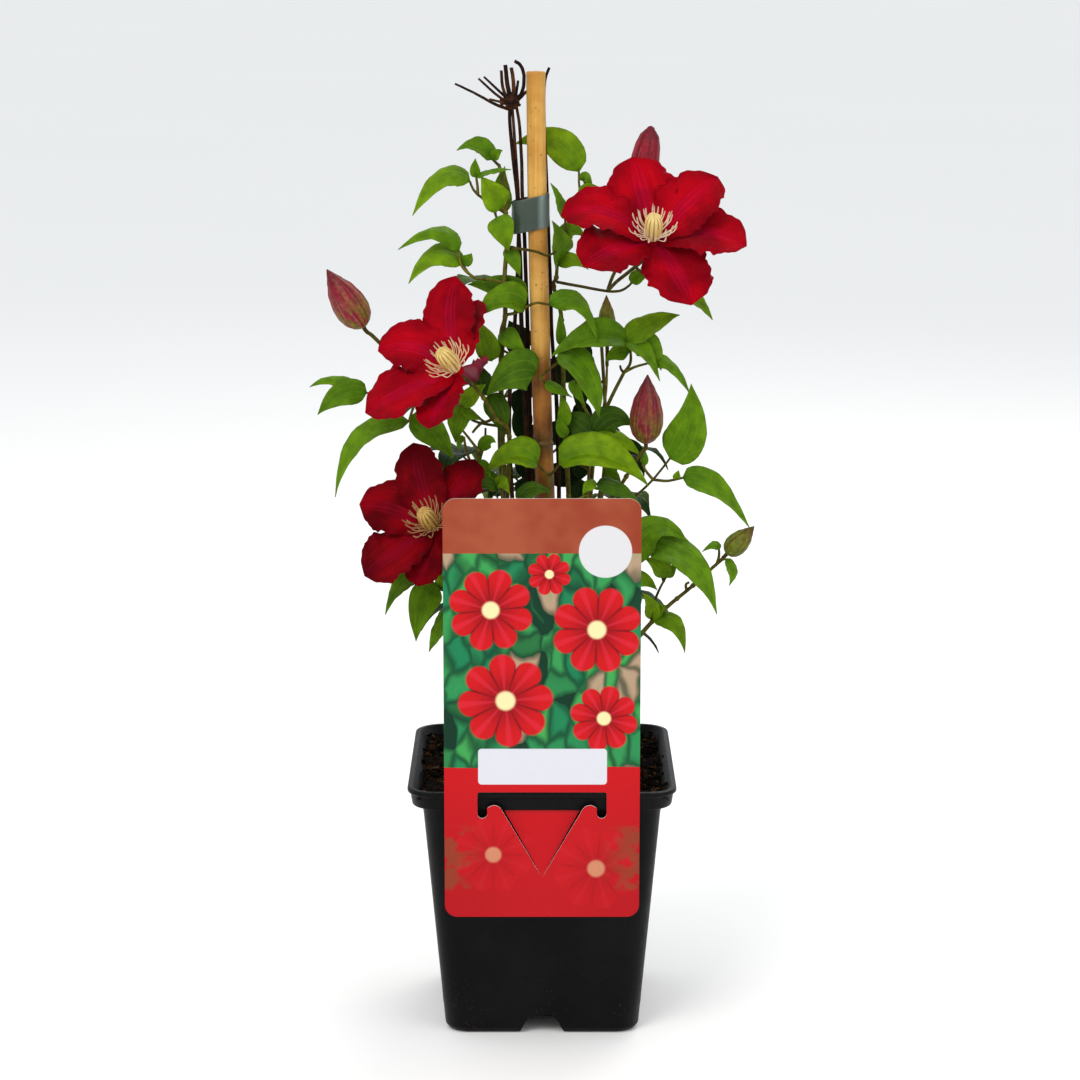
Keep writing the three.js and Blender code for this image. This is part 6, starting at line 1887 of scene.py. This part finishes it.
@dataclass
class BackShoot(Growth):
    """One leafy shoot behind the cane; a leaflet of its leaves has a way ahead, a way aside and a size."""

    leaflets: tuple[Row, ...] = ((1.0, 0.0, 1.0), (0.05, 1.0, 0.84), (0.05, -1.0, 0.8))

    def build(self, finishes: Sequence[Material]) -> None:
        """Makes the stem and its leaves in one piece.

        Args:
            finishes: The materials of leaves and of stems.
        """
        vine = BACK_VINES[self.name]
        mould = Mould()
        path = self.add_stem(mould, vine)
        for number, (height, compass, reach, size, *upright) in enumerate(vine.leaves):
            self.add_leaf(mould, self.point_at(path, height * MM), (compass, reach), size, number, bool(upright))
        mould.piece(self.name + "_grown", finishes, "foliage", [self.name])

    def point_at(self, path: Sequence[Vector], height: float) -> Vector:
        """Returns the place of the stem at a height in metres."""
        for low, high in zip(path, path[1:]):
            if low.z <= height <= high.z:
                return low.lerp(high, (height - low.z) / (high.z - low.z))
        return path[-1]

    def add_leaf(self, mould: Mould, root: Vector, spread: Pair, size: float, number: int,
                 upright: bool) -> None:
        """Adds one leaf stalk with three leaflets.

        Args:
            mould: The mould of the shoot.
            root: Where the leaf stalk leaves the stem.
            spread: The way that it goes, in degrees, and its length in millimetres.
            size: The length of the end leaflet in millimetres.
            number: The leaf's number on this shoot.
            upright: Whether its leaflets spread up and down and look to the front.
        """
        angle, reach = math.radians(spread[0]), spread[1]
        out = Vector((math.cos(angle), math.sin(angle), 0))
        rise = Vector((0, 0, 1))
        side = rise if upright else Vector((-math.sin(angle), math.cos(angle), 0))
        fall = 0.12 if upright else 0.4
        fork = root + (out * reach + rise * (0.45 * reach)) * MM
        self.add_twig(mould, [root, root + (out * (0.55 * reach) + rise * (0.12 * reach)) * MM, fork], 0.3)
        for index, (ahead, across, share) in enumerate(self.leaflets):
            way = (out * ahead + side * across).normalized()
            length = size * share
            mid = fork + (way * (0.62 * length) + rise * 2.4) * MM
            tip = fork + (way * (1.08 * length) - rise * (fall * length)) * MM
            face = Vector((0, -1, 0.2)) if upright else (rise + way * 0.45).normalized()
            tone = (0.23 + 0.37 * number + 0.21 * index) % 1
            Blade(fork, mid, tip, 0.58 * length, face, 9, LEAF_FORM).add_to(mould, 0, tone)


@dataclass
class Bloom:
    """One open bloom: six tepals on a disc, with a head of stamens and styles; millimetres.

    The disc lists heights and radii; the bundle of styles lists shares of its height and of its radius.
    """

    name: str
    disc: Pairs = ((-1.4, 2.6), (-0.6, 3.8), (0.6, 3.8), (1.9, 3.2))
    tepal_root: float = 2.0
    tepal_fold: float = 8.0
    seat: float = 2.2
    bundle_radius: float = 4.8
    bundle: Pairs = ((0.0, 0.55), (0.06, 0.8), (0.2, 0.93), (0.4, 1.0), (0.6, 1.0),
                                               (0.75, 0.94), (0.87, 0.84), (0.94, 0.66), (0.97, 0.4), (0.95, 0.15))
    grooves: int = 11
    height: float = 20.0
    spread: float = 13.0
    stamens: int = 34
    styles: int = 24

    def build(self, tepals: Material, head: Material) -> None:
        """Makes the ring of tepals on its disc, and the head.

        Args:
            tepals: The material of the tepals.
            head: The material of the stamens and styles.
        """
        frame, mould = bloom_frame(BLOOMS[self.name]), Mould()
        for number, (mid, tip, width) in enumerate(BLOOMS[self.name]["tepals"]):
            out = seen(mid) - frame.centre
            out = (out - frame.up * out.dot(frame.up)).normalized()
            base = frame.centre + out * (self.tepal_root * MM)
            blade = Blade(base, seen(mid), seen(tip), width, frame.up, self.tepal_fold, TEPAL_FORM)
            blade.add_to(mould, 0, (0.2 + 0.29 * number) % 1)
        mould.tube([frame.above(height) for height, _ in self.disc], [radius * MM for _, radius in self.disc], 20)
        mould.piece(self.name + "_ring", [tepals], "petals", [self.name + "_tepals"])
        mould = Mould()
        self.add_bundle(mould, frame)
        for i in range(self.styles):
            self.add_style(mould, frame, i)
        for i in range(self.stamens):
            self.add_stamen(mould, frame, i)
        mould.piece(self.name + "_head", [head], "stamens", [self.name + "_stamens"])

    def add_bundle(self, mould: Mould, frame: Frame) -> None:
        """Adds the grooved bundle of styles."""
        line = [frame.above(self.seat + (self.height - self.seat) * share) for share, _ in self.bundle]
        wide = [share for _, share in self.bundle]
        between = [(low + high) / 2 for low, high in zip(wide, wide[1:])]
        shares = [share for pair in zip(wide, between) for share in pair] + wide[-1:]
        mould.tube(curve_through(line, 2), [self.bundle_radius * share * MM for share in shares], 6 * self.grooves, 0,
                   0.9, self.ridges)

    def ridges(self, share: float, angle: float) -> float:
        """Returns the ridges along the bundle of styles."""
        return 1 + 0.07 * math.cos(self.grooves * angle) * min(4 * share, 1)

    def add_style(self, mould: Mould, frame: Frame, i: int) -> None:
        """Adds the free end of one style, curled inwards."""
        angle = math.tau * i / self.styles
        root, reach = self.height - 6.5 - 3 * (i % 3), self.bundle_radius * (0.97 - 0.14 * (2 - i % 3))
        points = [frame.around(reach - 0.3, root, angle), frame.around(reach + 0.1, root + 2.5, angle + 0.05),
                  frame.around(reach * 0.92, root + 5.0, angle + 0.12),
                  frame.around(reach * 0.7, root + 5.9, angle + 0.2)]
        path = curve_through(points, 4)
        mould.tube(path, tapered(len(path), 0.58, 0.34), 7, 0, 0.9 - 0.05 * math.sqrt((i + 0.5) / self.styles))

    def add_stamen(self, mould: Mould, frame: Frame, i: int) -> None:
        """Adds one flat stamen with a longer anther at its end."""
        angle = math.tau * (i + 0.35 * math.sin(7 * i)) / self.stamens
        inner = i % 2
        spread = (self.spread - 3.4 * inner) + 1.3 * math.sin(5 * i)
        height = self.height - 5.2 + 1.6 * inner + 1.8 * math.sin(3 * i)
        twist = 0.1 * math.sin(4 * i)
        path = curve_through([frame.around(1.7, self.seat + 0.8, angle),
                              frame.around(spread * 0.52, self.seat + 0.30 * height, angle + twist * 0.3),
                              frame.around(spread * 0.86, 0.68 * height, angle + twist * 0.7),
                              frame.around(spread, height, angle + twist)], 5)
        shares = [k / (len(path) - 1) for k in range(len(path))]
        mould.tube(path, [self.thread_radius(share) * MM for share in shares], 6, 0, (0.13 * i) % 0.6)

    def thread_radius(self, share: float) -> float:
        """Returns the radius of a stamen along it, wider at the anther."""
        return 0.26 + 0.16 * math.exp(-((share - 0.82) / 0.13) ** 2) - 0.12 * max(share - 0.93, 0) / 0.07


@dataclass
class Bud:
    """One closed or opening bud: four ridged tepals that meet at the tip.

    A profile lists shares of the length and of the greatest radius.
    """

    name: str
    sides: int = 48
    rows: int = 26
    closed: Pairs = ((0.0, 0.28), (0.05, 0.6), (0.14, 0.84), (0.28, 0.96), (0.42, 0.94),
                                               (0.63, 0.77), (0.8, 0.46), (0.92, 0.21), (1.0, 0.04))
    opening: Pairs = ((0, 0.3), (0.06, 0.62), (0.2, 0.92), (0.4, 0.94), (0.62, 0.85),
                                                (0.83, 0.66), (0.95, 0.44), (1, 0.3))
    cup: Pairs = ((0.8, 0.5), (0.45, 3.0), (0.1, 5.0))
    lips_from: float = 0.8
    lips_part: float = 0.2

    def width_at(self, profile: Sequence[Pair], share: float) -> float:
        """Returns the radius at a share of the length, as a share of the greatest."""
        (low, wide), (high, narrow) = next(pair for pair in zip(profile, profile[1:]) if share <= pair[1][0])
        t = (share - low) / (high - low)
        return wide + (narrow - wide) * (t * t * (3 - 2 * t) * 0.5 + t * 0.5)

    def build(self, finish: Material) -> None:
        """Makes the bud.

        Args:
            finish: The material of the bud.
        """
        bud = BUDS[self.name]
        frame, profile = bud_frame(bud), self.opening if bud["lips"] else self.closed
        length = (seen(bud["tip"]) - seen(bud["base"])).length / MM
        rows, skins = [], []
        for share in [row / self.rows for row in range(self.rows + 1)]:
            ring = []
            for angle in angles(self.sides):
                radius = bud["radius"] * self.width_at(profile, share) * self.relief(angle, share)
                height = length * share
                if bud["lips"] and share > self.lips_from:
                    part = (share - self.lips_from) / self.lips_part
                    height *= 1 - 0.06 * part * (0.5 + 0.5 * math.cos(2 * angle))
                ring.append(frame.around(radius, height, angle))
            rows.append(ring)
            skins.append([(side / self.sides, share, 0.5, 0.0) for side in range(self.sides)])
        mould = Mould()
        mould.rings(rows, skins, top=not bud["lips"])
        if bud["lips"]:
            self.close_lips(mould, frame, rows[-1], length)
        mould.piece(self.name + "_closed", [finish], "buds", [self.name])

    def close_lips(self, mould: Mould, frame: Frame, ring: Ring, length: float) -> None:
        """Sinks the opening tip inwards, as a cup between its lips."""
        flat = [point - frame.centre - frame.up * (point - frame.centre).dot(frame.up) for point in ring]
        rows = [ring, *[[frame.above(length - depth) + out * share for out in flat] for share, depth in self.cup]]
        skins = [[(side / self.sides, 1.0, 0.5, 1.0) for side in range(self.sides)] for _ in rows]
        mould.rings(rows, skins, foot=False)

    def relief(self, angle: float, share: float) -> float:
        """Returns how the four ribs and the seams between the tepals shape the bud."""
        rib = math.exp(-((math.remainder(angle, math.pi / 2)) / 0.16) ** 2)
        seam = math.exp(-((math.remainder(angle - math.pi / 4, math.pi / 2)) / 0.07) ** 2)
        ends = math.sin(math.pi * min(max(share, 0.0), 1.0)) ** 0.5
        return 0.98 + (0.07 * rib - 0.05 * seam + 0.012 * math.cos(12 * angle)) * ends


@dataclass
class CareLabel:
    """The die-cut label with its slot and its tongue, in millimetres."""

    width: float = 108.0
    foot: float = 76.0
    top: float = 313.0
    thick: float = 0.8
    corner: float = 7.0
    front: float = -76.1
    slot_half: float = 35.7
    slot_low: float = 138.6
    slot_high: float = 147.9
    slot_corner: float = 0.8
    leg_foot: float = 132.9
    leg_width: float = 5.4
    hump: float = 3.6
    shoulder: float = 22.6
    apex: float = 98.8
    bend: float = 134.0
    tongue_top: float = 140.5
    tongue_back: float = 70.1
    tongue_steps: Row = (110, 120, 128, 132)
    cut: float = 0.18

    def sheet_line(self) -> list[Pair]:
        """Returns the outline of the sheet, with its four round corners."""
        half, corner, steps = self.width / 2 - self.corner, self.corner, 8
        low, high = self.foot + corner, self.top - corner
        return [(x + corner * math.cos(math.radians(start + 90 * i / steps)),
                 z + corner * math.sin(math.radians(start + 90 * i / steps)))
                for x, z, start in ((half, low, -90), (half, high, 0), (-half, high, 90), (-half, low, 180))
                for i in range(steps + 1)]

    def opening_line(self) -> list[Pair]:
        """Returns the outline of the slot, its legs and the cut round the tongue."""
        edge, inner, outer = self.shoulder + self.cut, self.slot_half - self.leg_width, self.slot_half
        middle, radius = (inner + self.shoulder) / 2, self.leg_width / 2
        right = [(0.0, self.apex), (edge, self.slot_low)]
        right += [(edge * (1 - t) ** 2 + 2 * middle * t * (1 - t) + inner * t * t,
                   self.slot_low + 2 * self.hump * t * (1 - t)) for t in [i / 8 for i in range(1, 9)]]
        right += [(inner + radius - radius * math.cos(turn), self.leg_foot + radius - radius * math.sin(turn))
                  for turn in [math.pi * i / 10 for i in range(11)]]
        right += [(outer, self.slot_high - self.slot_corner), (outer - self.slot_corner, self.slot_high)]
        return right + [(-x, z) for x, z in reversed(right[1:])]

    def cut_sheet(self) -> bpy.types.Mesh:
        """Returns the flat sheet with its opening, drawn in x and y."""
        curve = bpy.data.curves.new("label_line", "CURVE")
        curve.dimensions, curve.fill_mode, curve.extrude = "2D", "BOTH", self.thick / 2 * MM
        for line in (self.sheet_line(), self.opening_line()):
            spline = curve.splines.new("POLY")
            spline.points.add(len(line) - 1)
            for point, (x, z) in zip(spline.points, line):
                point.co = (x * MM, z * MM, 0, 1)
            spline.use_cyclic_u = True
        drawn = add_object("label_line", curve)
        mesh = bpy.data.meshes.new_from_object(drawn.evaluated_get(bpy.context.evaluated_depsgraph_get()))
        bpy.data.objects.remove(drawn)
        return mesh

    def build(self, finish: Material) -> None:
        """Makes the label.

        Args:
            finish: The printed material.
        """
        sheet, mould = self.cut_sheet(), Mould()
        for x, z, depth in [vertex.co for vertex in sheet.vertices]:
            mould.points.append(Vector((x, (self.front + self.thick / 2) * MM - depth, z)))
            mould.skins.append(EVEN_SKIN)
        for polygon in sheet.polygons:
            mould.face(tuple(polygon.vertices))
        bpy.data.meshes.remove(sheet)
        self.add_tongue(mould)
        label = mould.piece("printed_label", [finish], "label_sheet", ["care_tag"], smooth=False)
        bevel = label.modifiers.new("soft_edges", "BEVEL")
        bevel.width, bevel.segments, bevel.limit_method = 0.0001, 1, "ANGLE"
        bake_modifiers(label)

    def add_tongue(self, mould: Mould) -> None:
        """Adds the tongue, which bends back under the collar."""
        apex, rows = self.apex, []
        for z in (apex - 0.3, apex + 0.3, apex + 4, *self.tongue_steps, self.bend, self.bend + 2, self.slot_low,
                  self.tongue_top - self.slot_corner, self.tongue_top):
            lean = min(max(z - apex, 0) / (self.bend - apex), 1.0)
            y = self.front + lean * (-self.tongue_back - self.thick - self.front)
            half = max(self.shoulder * min(max(z - apex, 0) / (self.slot_low - apex), 1.0) - self.cut, 0.3)
            if z == self.tongue_top:
                half -= self.slot_corner
            rows.append([plain((-half, y, z)), plain((half, y, z)), plain((half, y + self.thick, z)),
                         plain((-half, y + self.thick, z))])
        mould.rings(rows, [[EVEN_SKIN] * 4] * len(rows))


@dataclass
class Studio:
    """The floor, the soft lights and the camera, in metres and degrees.

    A light has its place, the place that it looks at, its power in watts and the side of its square.
    """

    camera_place: Row = (-0.0011, -1.727, 0.629)
    pitch: float = 11.6
    lens: float = 103.5
    sensor: float = 36.0
    surround: Four = (0.93, 0.96, 1.0, 1.0)
    surround_strength: float = 0.96
    light_colour: Row = (1.0, 0.985, 0.96)
    lights: tuple = (
        ("key", (-0.9, -1.5, 1.9), (0.0, 0.0, 0.35), 23.0, 1.0),
        ("fill", (1.5, -1.1, 1.0), (0.0, 0.0, 0.3), 6.0, 1.4),
        ("back", (0.6, 1.4, 1.7), (0.0, 0.0, 0.35), 12.0, 1.1),
    )
    floor_radii: Row = (0.001, 1.2, 6.0, 40.0)
    floor_height: float = -0.0004
    floor_sides: int = 64

    def build(self, finish: Material) -> None:
        """Makes the studio.

        Args:
            finish: The material of the floor.
        """
        self.floor(finish)
        scene = bpy.context.scene
        world = bpy.data.worlds.new("soft_surround")
        world.use_nodes = True
        background = world.node_tree.nodes["Background"]
        background.inputs["Color"].default_value = self.surround
        background.inputs["Strength"].default_value = self.surround_strength
        scene.world = world
        for name, place, target, power, size in self.lights:
            self.light(name, place, target, power, size)
        lens = bpy.data.cameras.new("camera")
        lens.lens, lens.sensor_width, lens.clip_start = self.lens, self.sensor, 0.01
        camera = add_object("camera", lens)
        camera.location = self.camera_place
        camera.rotation_euler = (math.radians(90 - self.pitch), 0, 0)
        scene.camera = camera
        scene.view_settings.view_transform = "Standard"

    def light(self, name: str, place: Point, target: Point, power: float, size: float) -> None:
        """Adds one soft square light.

        Args:
            name: The name of the light.
            place: Where it stands.
            target: Where it looks.
            power: Its power in watts.
            size: The side of the square.
        """
        lamp = bpy.data.lights.new(name, "AREA")
        lamp.energy, lamp.size, lamp.color = power, size, self.light_colour
        thing = add_object(name, lamp)
        thing.location = place
        thing.rotation_euler = (Vector(target) - Vector(place)).to_track_quat("-Z", "Y").to_euler()

    def floor(self, finish: Material) -> None:
        """Makes the wide floor."""
        mould = Mould()
        mould.rings([[Vector((radius * math.cos(angle), radius * math.sin(angle), self.floor_height))
                      for angle in angles(self.floor_sides)] for radius in self.floor_radii], foot=False, top=False)
        floor = add_object("studio_floor", mould.mesh("studio_floor"))
        floor.data.materials.append(finish)


def dress(node: str, material: Material) -> None:
    """Gives a solid of the frame a finish."""
    solid = frame["nodes"][node]
    for slot in solid.material_slots:
        slot.material = material
    if not solid.material_slots:
        solid.data.materials.append(material)
    LOG.info("dressed %s", node)


def build_plant() -> None:
    """Builds the shoots, the blooms and the buds in order."""
    leaves = [LeafFinish().make(), StemFinish("leaf_stalk", "#6C6A20", "#524612").make()]
    for name in VINES:
        Shoot(name).build(leaves)
    for name in BACK_VINES:
        BackShoot(name).build(leaves)
    bright = TepalFinish("tepal_crimson", "#AC0012", "#78000E", "#B40A3C", "#8A3448").make()
    # Painted shade: bloom_3 takes darker copies of the tepal finish.
    deep = TepalFinish("tepal_shaded", "#82000C", "#4E0006", "#880628", "#6E2C3C").make()
    cream = StamenFinish("stamen_cream", "#F2DCD0", "#9A6450", "#F0DCC0", "#DCC07A", "#8A6A34").make()
    warm = StamenFinish("stamen_warm", "#E4BCAC", "#90583E", "#E2C29A", "#D8B86C", "#80602C").make()
    # Painted shade: the darker copy of the stamen finish, for bloom_3.
    shaded_stamens = StamenFinish("stamen_shaded", "#B48474", "#6A3C2C", "#B48E60", "#BA944A", "#5A3E18").make()
    for name, tepals, head in (("bloom_1", bright, cream), ("bloom_2", bright, warm), ("bloom_3", deep, shaded_stamens)):
        Bloom(name).build(tepals, head)
    purple = BudFinish("bud_purple", "#84182C", "#8A4A34", "#5A1420", "#747024", "#A87078").make()
    opening = BudFinish("bud_opening", "#941428", "#7A202C", "#4C0A18", "#8A1828", "#B05860").make()
    green = BudFinish("bud_green", "#667018", "#6A5A1C", "#5A2E1C", "#5A6C18", "#98A050").make()
    dull = BudFinish("bud_olive", "#7A1828", "#824830", "#4E101C", "#6C681E", "#A07068").make()
    for name, finish in zip(BUDS, (purple, opening, dull, green, green)):
        Bud(name).build(finish)


def main() -> None:
    """Builds the scene in order."""
    logging.basicConfig(level=logging.INFO, format="%(name)s: %(message)s")
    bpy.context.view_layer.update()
    Finish.effects = {effect: maker() for effect, maker in (
        (Effect.MOTTLE, make_mottle), (Effect.LINES, make_lines), (Effect.GRAIN, make_grain),
        (Effect.SPECKS, make_specks), (Effect.ROSETTE, make_rosette))}
    soil = SoilFinish("bark_dark", "#0E0804", "#040201").make()
    crumbs = SoilFinish("bark_light", "#4E341E", "#22150B").make()
    Pot().build(PotFinish().make())
    dress("compost", soil)
    Compost().build([soil, crumbs])
    CareLabel().build(LabelFinish().make())
    Cane().build(BambooFinish().make())
    Tie().build(TieFinish().make())
    OldStems().build(StemFinish("dead_wood", "#543220", "#1C0E09", 0.7, 180.0).make())
    build_plant()
    Studio().build(StudioFinish().make())
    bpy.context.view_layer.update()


if __name__ == "__main__":
    main()
